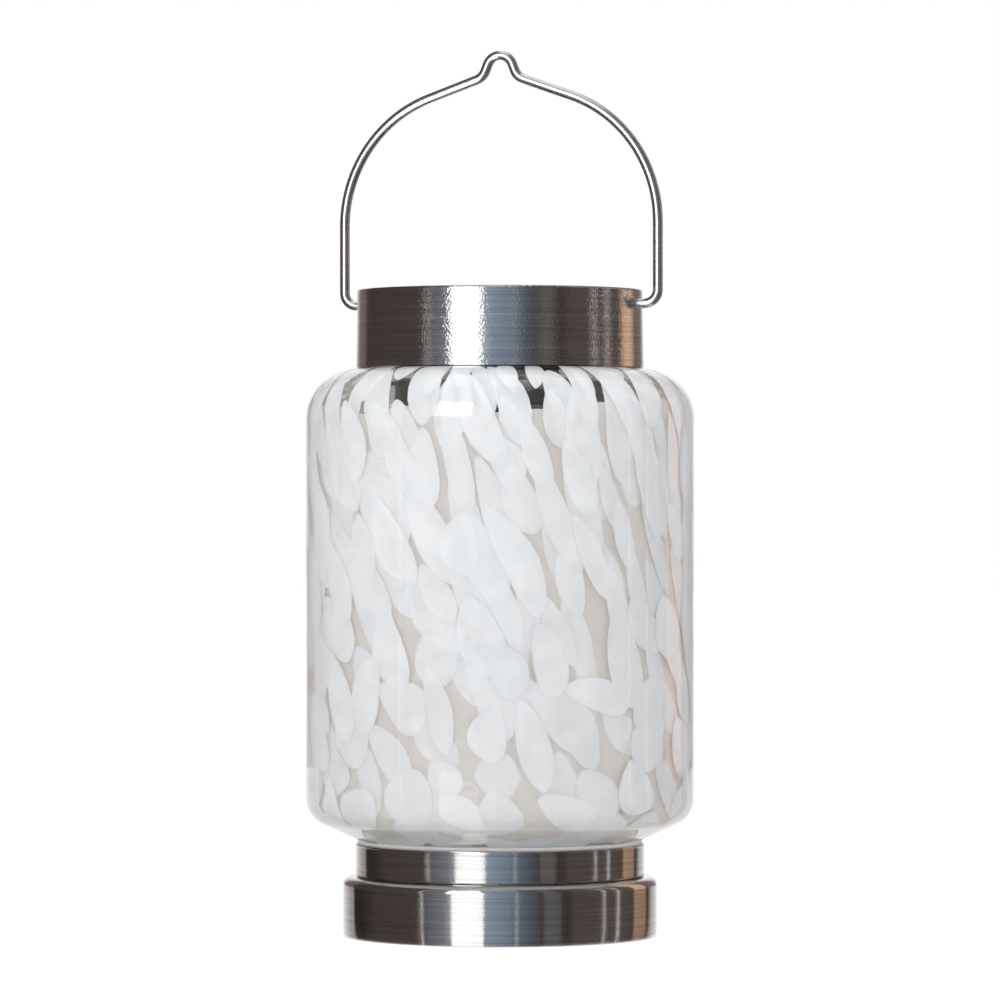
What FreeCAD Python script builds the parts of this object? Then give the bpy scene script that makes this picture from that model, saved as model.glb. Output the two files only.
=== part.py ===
import FreeCAD, Part
import math
import os
from types import SimpleNamespace

import Sketcher
from FreeCAD import Vector

# Driving dimensions in millimetres and degrees: name, value, what it measures
SIZES = (
    ("pad_proud", 0.5, "height of the steel rim above the surface that the pad stands on"),
    ("foot_radius", 48.7, "outer radius of the lower steel ring"),
    ("foot_height", 18.4, "height of the lower steel ring"),
    ("foot_shoulder", 2.6, "rounding at the top of the lower ring"),
    ("foot_wall", 1.0, "sheet thickness of the lower ring"),
    ("foot_bore", 18.0, "radius of the hole in the top of the lower ring"),
    ("collar_radius", 44.8, "outer radius of the upper steel ring"),
    ("collar_height", 10.2, "height of the upper steel ring"),
    ("collar_wall", 1.0, "sheet thickness of the upper ring"),
    ("collar_lip", 0.4, "rounding of the upper ring's edge"),
    ("collar_heel", 0.8, "rounding where the upper ring meets the lower one"),
    ("collar_bore", 18.0, "radius of the hole in the floor of the upper ring"),
    ("plate_thickness", 1.0, "thickness of the plate that closes the base"),
    ("plate_recess", 0.8, "depth of the base plate inside the rim"),
    ("plate_upstand", 6.0, "height of the base plate's turned-up edge"),
    ("plate_fit", 0.1, "gap between the base plate and the lower ring"),
    ("pad_inset", 7.7, "distance of the foam pad from the inside of the lower ring"),
    ("pad_width", 12.0, "width of the foam pad ring"),
    ("rivet_inset", 14.0, "distance of the rivets in from the glass foot"),
    ("rivet_radius", 1.6, "shank radius of a rivet"),
    ("rivet_head_radius", 3.0, "head radius of a rivet"),
    ("rivet_head", 0.8, "height of a rivet head"),
    ("rivet_fit", 0.05, "gap round a rivet shank"),
    ("seat_thickness", 1.0, "thickness of the gasket under the glass"),
    ("seat_width", 8.0, "width of the gasket under the glass"),
    ("bond_width", 1.8, "gap between the glass foot and the upper ring"),
    ("bond_height", 3.5, "height of the silicone bead in that gap"),
    ("bond_depth", 1.0, "depth of the bead below the ring's edge"),
    ("bond_fit", 0.05, "gap on each side of the bead"),
    ("glass_radius", 60.2, "outer radius of the glass"),
    ("glass_height", 146.8, "height of the glass from the upper ring to its shoulder"),
    ("glass_wall", 3.0, "thickness of the blown wall"),
    ("glass_floor", 4.0, "thickness of the glass floor"),
    ("cone_angle", 24.7, "rise of the glass above the upper ring"),
    ("knuckle_radius", 8.5, "rounding at the bottom of the glass wall"),
    ("shoulder_flat", 4.1, "width of the flat ring between the rounding of the shoulder and the neck"),
    ("foot_root", 1.5, "rounding between the glass foot and the cone"),
    ("floor_root", 2.5, "rounding at the edge of the glass floor"),
    ("punt_height", 5.0, "rise of the pushed-up glass floor"),
    ("punt_radius", 30.0, "radius of the pushed-up glass floor"),
    ("neck_height", 11.4, "height of the glass neck above the shoulder"),
    ("neck_wall", 2.7, "thickness of the neck"),
    ("neck_root", 2.0, "rounding between the neck and the shoulder"),
    ("neck_throat", 4.0, "rounding inside the neck"),
    ("rim_round", 1.1, "fire-polished rounding of the neck's rim"),
    ("cap_gap", 0.3, "gap between the cap and the glass shoulder"),
    ("cap_draft", 0.4, "how much narrower the cap is at the top"),
    ("cap_height", 24.15, "height of the cap"),
    ("cap_wall", 0.8, "sheet thickness of the cap"),
    ("cap_edge", 0.6, "rounding of the cap's top edge"),
    ("window_inset", 6.0, "distance of the cap's window in from the module flange"),
    ("liner_fit", 0.1, "gap between the threaded liner and the cap"),
    ("liner_wall", 2.1, "wall of the threaded liner"),
    ("liner_flange", 2.0, "thickness of the liner's flange"),
    ("liner_recess", 0.9, "height of the liner above the cap's lower edge"),
    ("liner_play", 0.4, "gap between the liner's flange and the module"),
    ("thread_gap", 0.6, "room for the thread between the neck and the liner"),
    ("lid_gasket", 1.2, "thickness of the gasket on the neck's rim"),
    ("module_gap", 5.15, "gap between the light module and the inside of the neck"),
    ("module_drop", 11.4, "depth of the module below the glass shoulder"),
    ("housing_wall", 1.5, "wall of the module housing"),
    ("housing_flange", 5.45, "how far the housing's flange stands out"),
    ("flange_thickness", 1.8, "thickness of the housing's flange"),
    ("deck_thickness", 1.6, "thickness of the deck under the solar panel"),
    ("lug_width", 5.4, "width of the lugs that take the liner's screws"),
    ("lug_reach", 8.55, "how far the lugs stand out from the module"),
    ("panel_gasket", 0.6, "thickness of the gasket under the cap's top"),
    ("panel_width", 44.0, "side of the square solar panel"),
    ("panel_thickness", 2.5, "thickness of the solar panel"),
    ("panel_clear", 0.3, "gap round the solar panel"),
    ("panel_corner", 1.5, "rounding of the solar panel's corners"),
    ("lead_radius", 0.6, "radius of an insulated wire"),
    ("lead_bend", 2.4, "bend of an insulated wire"),
    ("lead_hole", 2.4, "radius of the hole for the panel's wires"),
    ("lead_spacing", 1.3, "distance of a panel wire from the middle of its hole"),
    ("lead_offset", 12.0, "distance of the panel's wires from the middle of the cap"),
    ("lead_spread", 2.6, "sideways step of a panel wire on its way down"),
    ("cover_thickness", 2.6, "thickness of the module's bottom cover"),
    ("cover_edge", 1.0, "rounding of the bottom cover"),
    ("boss_radius", 5.5, "radius of the collar round the light-emitting diode"),
    ("boss_height", 4.0, "height of that collar"),
    ("boss_flare", 0.7, "widening of that collar at its root"),
    ("screw_radius", 1.25, "shank radius of a screw"),
    ("screw_head_radius", 2.1, "head radius of a screw"),
    ("screw_head", 1.1, "height of a screw head"),
    ("screw_length", 6.0, "length of a screw under its head"),
    ("screw_fit", 0.1, "gap round a screw"),
    ("pillar_radius", 2.8, "radius of the pillars for the cover's screws"),
    ("pillar_height", 13.0, "height of those pillars"),
    ("pillar_inset", 2.4, "distance of those pillars from the housing's wall"),
    ("cell_radius", 5.25, "radius of the battery"),
    ("cell_length", 43.7, "length of the battery without its button"),
    ("button_radius", 1.9, "radius of the battery's button"),
    ("button_height", 0.8, "height of the battery's button"),
    ("cell_edge", 0.5, "rounding of the battery's ends"),
    ("cell_offset", 13.2, "distance of the battery from the middle of the module"),
    ("cell_clear", 0.5, "gap between the battery and the cover"),
    ("contact_gauge", 0.4, "sheet thickness of the battery contacts"),
    ("contact_width", 7.0, "width of the battery contacts"),
    ("contact_height", 9.5, "height of the battery contacts"),
    ("contact_tab", 6.65, "height of the wires on the battery contacts"),
    ("spring_tail", 3.2, "length of the free end of the spring contact"),
    ("contact_touch", 0.05, "gap between the battery and a contact"),
    ("spring_room", 3.4, "room for the spring contact"),
    ("rib_thickness", 1.6, "thickness of the ribs behind the contacts"),
    ("rib_setback", 0.4, "how much narrower those ribs are than a contact on each side"),
    ("rib_height", 10.0, "height of those ribs"),
    ("rib_clear", 0.6, "gap between those ribs and the housing"),
    ("door_thickness", 1.6, "thickness of the battery door"),
    ("door_margin", 0.3, "how much wider the door is than the battery on each side"),
    ("door_clear", 0.35, "gap round the battery door"),
    ("door_end", 0.9, "distance of the door's ends short of the ribs"),
    ("pin_length", 1.3, "length of the door's hinge pins"),
    ("pin_fit", 0.08, "gap round a hinge pin"),
    ("notch_radius", 3.0, "radius of the finger notch in the door"),
    ("board_thickness", 1.6, "thickness of the circuit board"),
    ("board_half", 19.0, "half the length of the circuit board"),
    ("board_clear", 1.0, "gap between the corners of the board and the housing"),
    ("board_front", 4.5, "how far the board reaches in front of the middle"),
    ("board_lift", 3.9, "height of the board above the cover"),
    ("post_radius", 2.0, "radius of the posts under the board"),
    ("post_across", 14.5, "sideways distance of the posts"),
    ("post_inset", 3.5, "distance of the posts in from the edge of the board"),
    ("diode_radius", 2.5, "radius of the light-emitting diode"),
    ("diode_dome", 2.4, "rounding of the tip of the diode"),
    ("diode_length", 7.4, "length of the diode below its flange"),
    ("diode_flange", 1.0, "height of the diode's flange"),
    ("diode_brim", 0.4, "width of the diode's flange"),
    ("diode_fit", 0.1, "gap round the diode"),
    ("pin_gauge", 0.25, "radius of the diode's wires"),
    ("pin_spacing", 1.27, "distance of the diode's wires from its middle"),
    ("switch_half", 4.6, "half the length of the switch"),
    ("switch_depth", 4.4, "width of the switch"),
    ("switch_back", 17.0, "distance of the switch behind the middle"),
    ("switch_gap", 0.4, "gap between the switch and the cover"),
    ("slot_depth", 1.8, "depth of the slot in the switch"),
    ("knob_length", 2.4, "length of the switch's knob"),
    ("knob_width", 2.0, "width of the switch's knob"),
    ("knob_proud", 0.9, "how far the knob stands out of the cover"),
    ("knob_travel", 2.5, "travel of the knob"),
    ("knob_clear", 0.3, "gap round the knob"),
    ("wire_radius", 1.55, "radius of the bail's wire"),
    ("wire_fit", 0.1, "gap between the bail's wire and its hole"),
    ("bail_drop", 4.55, "depth of the bail's holes below the cap's top"),
    ("bail_gap", 6.4, "distance of the bail's legs from the cap"),
    ("bail_end_gap", 6.05, "distance of the bail's ends from the module"),
    ("bail_rise", 77.3, "height of the bail's crown above its holes"),
    ("bail_bend", 4.2, "bend at the foot of each leg"),
    ("arch_radius", 41.7, "bend at the top of each leg"),
    ("arch_slope", 19.4, "rise of the wire towards the crown"),
    ("flare_radius", 4.5, "bend at the foot of the crown"),
    ("crown_slope", 68.2, "rise of the crown's sides"),
    ("crown_side", 2.3, "straight length of the crown's sides"),
    ("crown_radius", 4.3, "bend over the crown"),
    ("upset_radius", 2.0, "radius of the flattened wire end"),
    ("upset_length", 1.2, "length of the flattened wire end"),
)

THREE = 3
FULL_TURN = 360.0
FIRST_ANGLE = 90.0
NEAR = 1e-4
FOLD_SLANT = 1.25

DOCUMENT = FreeCAD.newDocument("spotted_glass_lantern")
SHEET = DOCUMENT.addObject("Spreadsheet::Sheet", "sizes")
PARTS = []


class Size:
    """A length or an angle: its number, and the expression that ties it to the sheet."""

    def __init__(self, number, text):
        self.number = number
        self.text = text

    def __add__(self, other):
        other = as_size(other)
        return Size(self.number + other.number, f"({self.text} + {other.text})")

    def __sub__(self, other):
        other = as_size(other)
        return Size(self.number - other.number, f"({self.text} - {other.text})")

    def __rsub__(self, other):
        return as_size(other) - self

    def __mul__(self, other):
        other = as_size(other)
        return Size(self.number * other.number, f"({self.text} * {other.text})")

    def __truediv__(self, other):
        other = as_size(other)
        return Size(self.number / other.number, f"({self.text} / {other.text})")

    def __neg__(self):
        return Size(-self.number, f"(-{self.text})")


def as_size(value):
    return value if isinstance(value, Size) else Size(float(value), repr(float(value)))


def tangent(angle):
    return Size(math.tan(math.radians(angle.number)), f"tan({angle.text} * 1 deg)")


def cosine(angle):
    return Size(math.cos(math.radians(angle.number)), f"cos({angle.text} * 1 deg)")


def hypotenuse(one, other):
    return Size(math.hypot(one.number, other.number), f"hypot({one.text}; {other.text})")


def other_leg(longest, leg):
    number = math.sqrt(longest.number ** 2 - leg.number ** 2)
    return Size(number, f"sqrt({longest.text} ^ 2 - {leg.text} ^ 2)")


def around(distance, angle):
    """A place on a circle about the middle, at a fixed angle in degrees."""
    turn = math.radians(angle)
    return distance * round(math.cos(turn), 9), distance * round(math.sin(turn), 9)


def fill_sheet():
    for row, (alias, value, note) in enumerate(SIZES, start=1):
        SHEET.set(f"A{row}", note)
        SHEET.set(f"B{row}", str(value))
        SHEET.setAlias(f"B{row}", alias)
    DOCUMENT.recompute()
    sizes = SimpleNamespace()
    for alias, _, _ in SIZES:
        setattr(sizes, alias, Size(float(SHEET.get(alias)), f"sizes.{alias}"))
    return sizes


def part_radii(s):
    """Radii that follow from the driving dimensions: the base from outside in, the lid from the battery out."""
    r = SimpleNamespace()
    r.foot_bore = s.foot_radius - s.foot_wall
    r.plate = r.foot_bore - s.plate_fit
    r.pad = r.foot_bore - s.pad_inset
    r.collar_bore = s.collar_radius - s.collar_wall
    r.glass_foot = r.collar_bore - s.bond_width
    r.rivets = r.glass_foot - s.rivet_inset
    r.rib = s.cell_length / 2 + (s.button_height + s.spring_room) / 2 + s.contact_gauge
    r.rib_half = s.contact_width / 2 - s.rib_setback
    r.module_bore = hypotenuse(r.rib + s.rib_thickness, s.cell_offset + r.rib_half) + s.rib_clear
    r.board_back = other_leg(r.module_bore - s.board_clear, s.board_half)
    r.pillars = r.module_bore - s.pillar_inset
    r.module = r.module_bore + s.housing_wall
    r.flange = r.module + s.housing_flange
    r.window = r.flange - s.window_inset
    r.lug = r.module + s.lug_reach
    r.lug_screw = r.lug - s.lug_width / 2
    r.bail_end = r.module + s.bail_end_gap
    r.neck_bore = r.module + s.module_gap
    r.neck = r.neck_bore + s.neck_wall
    r.shoulder = s.glass_radius - r.neck - s.shoulder_flat
    r.liner_bore = r.neck + s.thread_gap
    r.liner = r.liner_bore + s.liner_wall
    r.cap_top = r.liner + s.liner_fit + s.cap_wall
    r.cap = r.cap_top + s.cap_draft
    r.bail_leg = r.cap + s.bail_gap
    return r


def part_levels(s):
    """Heights that follow from the driving dimensions, from the bottom up."""
    z = SimpleNamespace()
    z.plate = s.pad_proud + s.plate_recess
    z.foot_top = s.pad_proud + s.foot_height
    z.collar_top = z.foot_top + s.collar_height
    z.collar_floor = z.foot_top + s.collar_wall
    z.glass_bottom = z.collar_floor + s.seat_thickness
    z.glass_floor = z.glass_bottom + s.glass_floor
    z.shoulder = z.collar_top + s.glass_height
    z.neck_top = z.shoulder + s.neck_height
    z.cap_bottom = z.shoulder + s.cap_gap
    z.cap_top = z.cap_bottom + s.cap_height
    z.cap_ceiling = z.cap_top - s.cap_wall
    z.liner_shelf = z.neck_top + s.lid_gasket
    z.liner_top = z.liner_shelf + s.liner_flange
    z.bail_axis = z.cap_top - s.bail_drop
    z.housing_top = z.cap_ceiling - s.panel_gasket
    z.panel_seat = z.housing_top - s.panel_thickness
    z.deck = z.panel_seat - s.deck_thickness
    z.module_bottom = z.shoulder - s.module_drop
    z.cover_top = z.module_bottom + s.cover_thickness
    z.hinge = z.module_bottom + s.cover_thickness / 2
    z.cell = z.cover_top + s.cell_clear + s.cell_radius
    z.board = z.cover_top + s.board_lift
    z.board_top = z.board + s.board_thickness
    z.switch = z.cover_top + s.switch_gap
    return z


def new_body(label):
    body = DOCUMENT.addObject("PartDesign::Body", label)
    body.Label = label
    body.AllowCompound = True
    PARTS.append(body)
    return body


def origin_plane(body, role):
    return next(item for item in body.Origin.OriginFeatures if item.Role == role)


def new_sketch(body, name, role, lift=None):
    sketch = body.newObject("Sketcher::SketchObject", f"{body.Label}_{name}")
    sketch.AttachmentSupport = (origin_plane(body, role), [""])
    sketch.MapMode = "FlatFace"
    if lift is not None:
        sketch.setExpression("AttachmentOffset.Base.z", lift.text)
    return sketch


def tie(sketch, constraint, size):
    index = sketch.addConstraint(constraint)
    sketch.setExpression(f"Constraints[{index}]", size.text)


def pin_point(sketch, item, point, across, up):
    """Holds one point of a sketch at its distances from the sketch's own axes."""
    for kind, axis, size in (("DistanceX", -2, as_size(across)), ("DistanceY", -1, as_size(up))):
        if abs(size.number) < NEAR:
            sketch.addConstraint(Sketcher.Constraint("PointOnObject", item, point, axis))
        else:
            tie(sketch, Sketcher.Constraint(kind, -1, 1, item, point, size.number), size)


def draw_outline(sketch, corners):
    """A closed outline of straight sides, each corner given as (across, up)."""
    spots = [Vector(as_size(across).number, as_size(up).number, 0) for across, up in corners]
    first = sketch.GeometryCount
    for index, spot in enumerate(spots):
        sketch.addGeometry(Part.LineSegment(spot, spots[(index + 1) % len(spots)]), False)
    for index in range(len(spots)):
        following = first + (index + 1) % len(spots)
        sketch.addConstraint(Sketcher.Constraint("Coincident", first + index, 2, following, 1))
    for index, (across, up) in enumerate(corners):
        pin_point(sketch, first + index, 1, across, up)


def draw_box(sketch, left, right, low, high):
    draw_outline(sketch, ((left, low), (right, low), (right, high), (left, high)))


def draw_circle(sketch, across, up, radius):
    centre = Vector(as_size(across).number, as_size(up).number, 0)
    item = sketch.addGeometry(Part.Circle(centre, Vector(0, 0, 1), radius.number), False)
    pin_point(sketch, item, 3, across, up)
    tie(sketch, Sketcher.Constraint("Radius", item, radius.number), radius)


def turn(body, name, corners):
    """A turned form: an outline of (radius, height) corners, revolved about the upright axis."""
    sketch = new_sketch(body, f"{name}_profile", "XZ_Plane")
    draw_outline(sketch, corners)
    form = body.newObject("PartDesign::Revolution", f"{body.Label}_{name}")
    form.Profile = sketch
    form.ReferenceAxis = (sketch, ["V_Axis"])
    form.Angle = FULL_TURN
    DOCUMENT.recompute()
    return form


def raise_from(body, name, sketch, height):
    form = body.newObject("PartDesign::Pad", f"{body.Label}_{name}")
    form.Profile = sketch
    form.setExpression("Length", height.text)
    DOCUMENT.recompute()
    return form


def cut(body, name, sketch, depth=None, centred=False):
    """A cut down from the sketch by a depth, centred on it, or right through on both sides."""
    before = body.Shape.Volume
    form = body.newObject("PartDesign::Pocket", f"{body.Label}_{name}")
    form.Profile = sketch
    form.Midplane = centred or depth is None
    if depth is None:
        form.Type = "ThroughAll"
    else:
        form.setExpression("Length", depth.text)
    DOCUMENT.recompute()
    if not body.Shape.Volume < before:
        raise RuntimeError(f"{form.Label} removes nothing")
    return form


def repeat(body, forms, sketch):
    """Three copies of the forms, evenly about the upright axis."""
    pattern = body.newObject("PartDesign::PolarPattern", f"{body.Label}_{forms[0].Label}_round")
    pattern.Originals = forms
    pattern.Axis = (sketch, ["N_Axis"])
    pattern.Angle = FULL_TURN
    pattern.Occurrences = THREE
    body.Tip = pattern
    DOCUMENT.recompute()
    return pattern


def ring_names(shape, rings):
    """Names of the circular edges about the upright axis at each (radius, height)."""
    names = []
    for index, edge in enumerate(shape.Edges, start=1):
        if not isinstance(edge.Curve, Part.Circle):
            continue
        centre = edge.Curve.Center
        for radius, height in rings:
            level = abs(centre.z - height.number) < NEAR and abs(edge.Curve.Radius - radius.number) < NEAR
            if level and math.hypot(centre.x, centre.y) < NEAR:
                names.append(f"Edge{index}")
    return names


def round_edges(body, name, radius, edges):
    if not edges:
        raise RuntimeError(f"{body.Label} has no edges for {name}")
    base = body.Tip
    form = body.newObject("PartDesign::Fillet", f"{body.Label}_{name}")
    form.Base = (base, edges)
    form.setExpression("Radius", radius.text)
    DOCUMENT.recompute()
    return form


def round_rings(body, name, radius, *rings):
    return round_edges(body, name, radius, ring_names(body.Shape, rings))


def upright_edges(shape, places):
    """Names of the straight upright edges that stand at the given (x, y) places."""
    names = []
    for index, edge in enumerate(shape.Edges, start=1):
        if not isinstance(edge.Curve, Part.Line) or abs(edge.tangentAt(edge.FirstParameter).z) < 1 - NEAR:
            continue
        spot = edge.Vertexes[0].Point
        for across, along in places:
            if math.hypot(spot.x - across.number, spot.y - along.number) < NEAR:
                names.append(f"Edge{index}")
    return names


def make_base(s, r, z):
    """Steel base: a drawn lower ring, an upper cup riveted on it, a plate and a foam pad below."""
    foot = new_body("foot_ring")
    turn(foot, "shell", (
        (s.foot_bore, z.foot_top), (s.foot_radius, z.foot_top), (s.foot_radius, s.pad_proud),
        (r.foot_bore, s.pad_proud), (r.foot_bore, z.foot_top - s.foot_wall),
        (s.foot_bore, z.foot_top - s.foot_wall)))
    round_rings(foot, "shoulder", s.foot_shoulder, (s.foot_radius, z.foot_top))
    round_rings(foot, "inside", s.foot_shoulder - s.foot_wall, (r.foot_bore, z.foot_top - s.foot_wall))
    rivet_holes(foot, s, r)

    collar = new_body("base_collar")
    turn(collar, "shell", (
        (s.collar_bore, z.foot_top), (s.collar_radius, z.foot_top), (s.collar_radius, z.collar_top),
        (r.collar_bore, z.collar_top), (r.collar_bore, z.collar_floor), (s.collar_bore, z.collar_floor)))
    round_rings(collar, "lip", s.collar_lip, (s.collar_radius, z.collar_top), (r.collar_bore, z.collar_top))
    round_rings(collar, "heel", s.collar_heel, (s.collar_radius, z.foot_top))
    rivet_holes(collar, s, r)

    rivets = new_body("base_rivets")
    foot_ceiling = z.foot_top - s.foot_wall
    stages = (
        ("tail", s.rivet_head_radius, foot_ceiling - s.rivet_head, foot_ceiling),
        ("shank", s.rivet_radius, foot_ceiling, z.collar_floor),
        ("head", s.rivet_head_radius, z.collar_floor, z.collar_floor + s.rivet_head))
    make_fasteners(rivets, r.rivets, stages)

    plate = new_body("base_plate")
    upstand_top = z.plate + s.plate_upstand
    turn(plate, "dish", (
        (0, z.plate), (r.plate, z.plate), (r.plate, upstand_top), (r.plate - s.plate_thickness, upstand_top),
        (r.plate - s.plate_thickness, z.plate + s.plate_thickness), (0, z.plate + s.plate_thickness)))
    round_rings(plate, "edge", s.plate_thickness, (r.plate, z.plate))

    pad = new_body("foot_pad")
    turn(pad, "ring", ((r.pad - s.pad_width, 0), (r.pad, 0), (r.pad, z.plate), (r.pad - s.pad_width, z.plate)))


def rivet_holes(body, s, r):
    sketch = new_sketch(body, "rivet_holes", "XY_Plane")
    for index in range(THREE):
        across, along = around(r.rivets, FIRST_ANGLE + index * FULL_TURN / THREE)
        draw_circle(sketch, across, along, s.rivet_radius + s.rivet_fit)
    cut(body, "holes", sketch)


def make_fasteners(body, distance, stages):
    """Three alike fasteners on a circle, each a stack of round stages (name, radius, low, high)."""
    across, along = around(distance, FIRST_ANGLE)
    forms = []
    for name, radius, low, high in stages:
        sketch = new_sketch(body, f"{name}_circle", "XY_Plane", low)
        draw_circle(sketch, across, along, radius)
        forms.append(raise_from(body, name, sketch, high - low))
    repeat(body, forms, sketch)


def make_glass(s, r, z):
    """Blown glass: a closed foot with a pushed-up floor, a cone, a straight wall, a shoulder and a neck."""
    wall_bore = s.glass_radius - s.glass_wall
    foot_bore = r.glass_foot - s.glass_wall
    rise = tangent(s.cone_angle)
    cone_wall = s.glass_wall / cosine(s.cone_angle)
    knuckle = z.collar_top + (s.glass_radius - r.glass_foot) * rise
    inner_knuckle = z.collar_top + (wall_bore - r.glass_foot) * rise + cone_wall
    inner_cone = z.collar_top - s.glass_wall * rise + cone_wall
    inner_shoulder = z.shoulder - s.glass_wall
    glass = new_body("glass_jar")
    turn(glass, "wall", (
        (0, z.glass_bottom + s.punt_height), (s.punt_radius, z.glass_bottom), (r.glass_foot, z.glass_bottom),
        (r.glass_foot, z.collar_top), (s.glass_radius, knuckle), (s.glass_radius, z.shoulder),
        (r.neck, z.shoulder), (r.neck, z.neck_top), (r.neck_bore, z.neck_top), (r.neck_bore, inner_shoulder),
        (wall_bore, inner_shoulder), (wall_bore, inner_knuckle), (foot_bore, inner_cone),
        (foot_bore, z.glass_floor), (s.punt_radius, z.glass_floor), (0, z.glass_floor + s.punt_height)))
    round_rings(glass, "shoulder", r.shoulder, (s.glass_radius, z.shoulder))
    round_rings(glass, "inner_shoulder", r.shoulder - s.glass_wall, (wall_bore, inner_shoulder))
    round_rings(glass, "knuckle", s.knuckle_radius, (s.glass_radius, knuckle))
    round_rings(glass, "inner_knuckle", s.knuckle_radius - s.glass_wall, (wall_bore, inner_knuckle))
    round_rings(glass, "foot_root", s.foot_root, (r.glass_foot, z.collar_top))
    round_rings(glass, "inner_foot_root", s.foot_root + s.glass_wall, (foot_bore, inner_cone))
    round_rings(glass, "floor", s.floor_root, (foot_bore, z.glass_floor), (r.glass_foot, z.glass_bottom))
    round_rings(glass, "neck_root", s.neck_root, (r.neck, z.shoulder))
    round_rings(glass, "throat", s.neck_throat, (r.neck_bore, inner_shoulder))
    round_rings(glass, "rim", s.rim_round, (r.neck, z.neck_top), (r.neck_bore, z.neck_top))

    seat = new_body("seat_gasket")
    seat_outer = r.glass_foot - s.floor_root
    turn(seat, "ring", (
        (seat_outer - s.seat_width, z.collar_floor), (seat_outer, z.collar_floor),
        (seat_outer, z.glass_bottom), (seat_outer - s.seat_width, z.glass_bottom)))

    bond = new_body("bond_ring")
    bond_top = z.collar_top - s.bond_depth
    bond_inner = r.glass_foot + s.bond_fit
    bond_outer = r.collar_bore - s.bond_fit
    turn(bond, "bead", (
        (bond_inner, bond_top - s.bond_height), (bond_outer, bond_top - s.bond_height),
        (bond_outer, bond_top), (bond_inner, bond_top)))


def make_cap(s, r, z):
    """Spun steel cap with a round window in its top and two holes for the bail."""
    cap = new_body("cap_shell")
    turn(cap, "shell", (
        (r.cap, z.cap_bottom), (r.cap_top, z.cap_top), (r.window, z.cap_top), (r.window, z.cap_ceiling),
        (r.cap_top - s.cap_wall, z.cap_ceiling), (r.cap - s.cap_wall, z.cap_bottom)))
    round_rings(cap, "edge", s.cap_edge, (r.cap_top, z.cap_top))
    sketch = new_sketch(cap, "bail_hole", "YZ_Plane")
    draw_circle(sketch, 0, z.bail_axis, s.wire_radius + s.wire_fit)
    cut(cap, "bail_holes", sketch)

    liner = new_body("neck_liner")
    liner_bottom = z.cap_bottom + s.liner_recess
    flange_bore = r.module + s.liner_play
    turn(liner, "ring", (
        (r.liner_bore, liner_bottom), (r.liner, liner_bottom), (r.liner, z.liner_top),
        (flange_bore, z.liner_top), (flange_bore, z.liner_shelf), (r.liner_bore, z.liner_shelf)))
    heads = new_sketch(liner, "screw_heads", "XY_Plane", z.liner_shelf + s.screw_head)
    shanks = new_sketch(liner, "screw_shanks", "XY_Plane", z.liner_top)
    for index in range(THREE):
        across, along = around(r.lug_screw, FIRST_ANGLE + index * FULL_TURN / THREE)
        draw_circle(heads, across, along, s.screw_head_radius + s.screw_fit)
        draw_circle(shanks, across, along, s.screw_radius + s.screw_fit)
    cut(liner, "counterbores", heads, s.screw_head)
    cut(liner, "clearance", shanks, s.liner_flange)

    screws = new_body("liner_screws")
    seat = z.liner_shelf + s.screw_head
    make_fasteners(screws, r.lug_screw, (
        ("head", s.screw_head_radius, z.liner_shelf, seat),
        ("shank", s.screw_radius, seat, seat + s.screw_length)))

    gasket = new_body("lid_gasket")
    turn(gasket, "ring", (
        (r.neck_bore, z.neck_top), (r.neck, z.neck_top), (r.neck, z.liner_shelf), (r.neck_bore, z.liner_shelf)))


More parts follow.
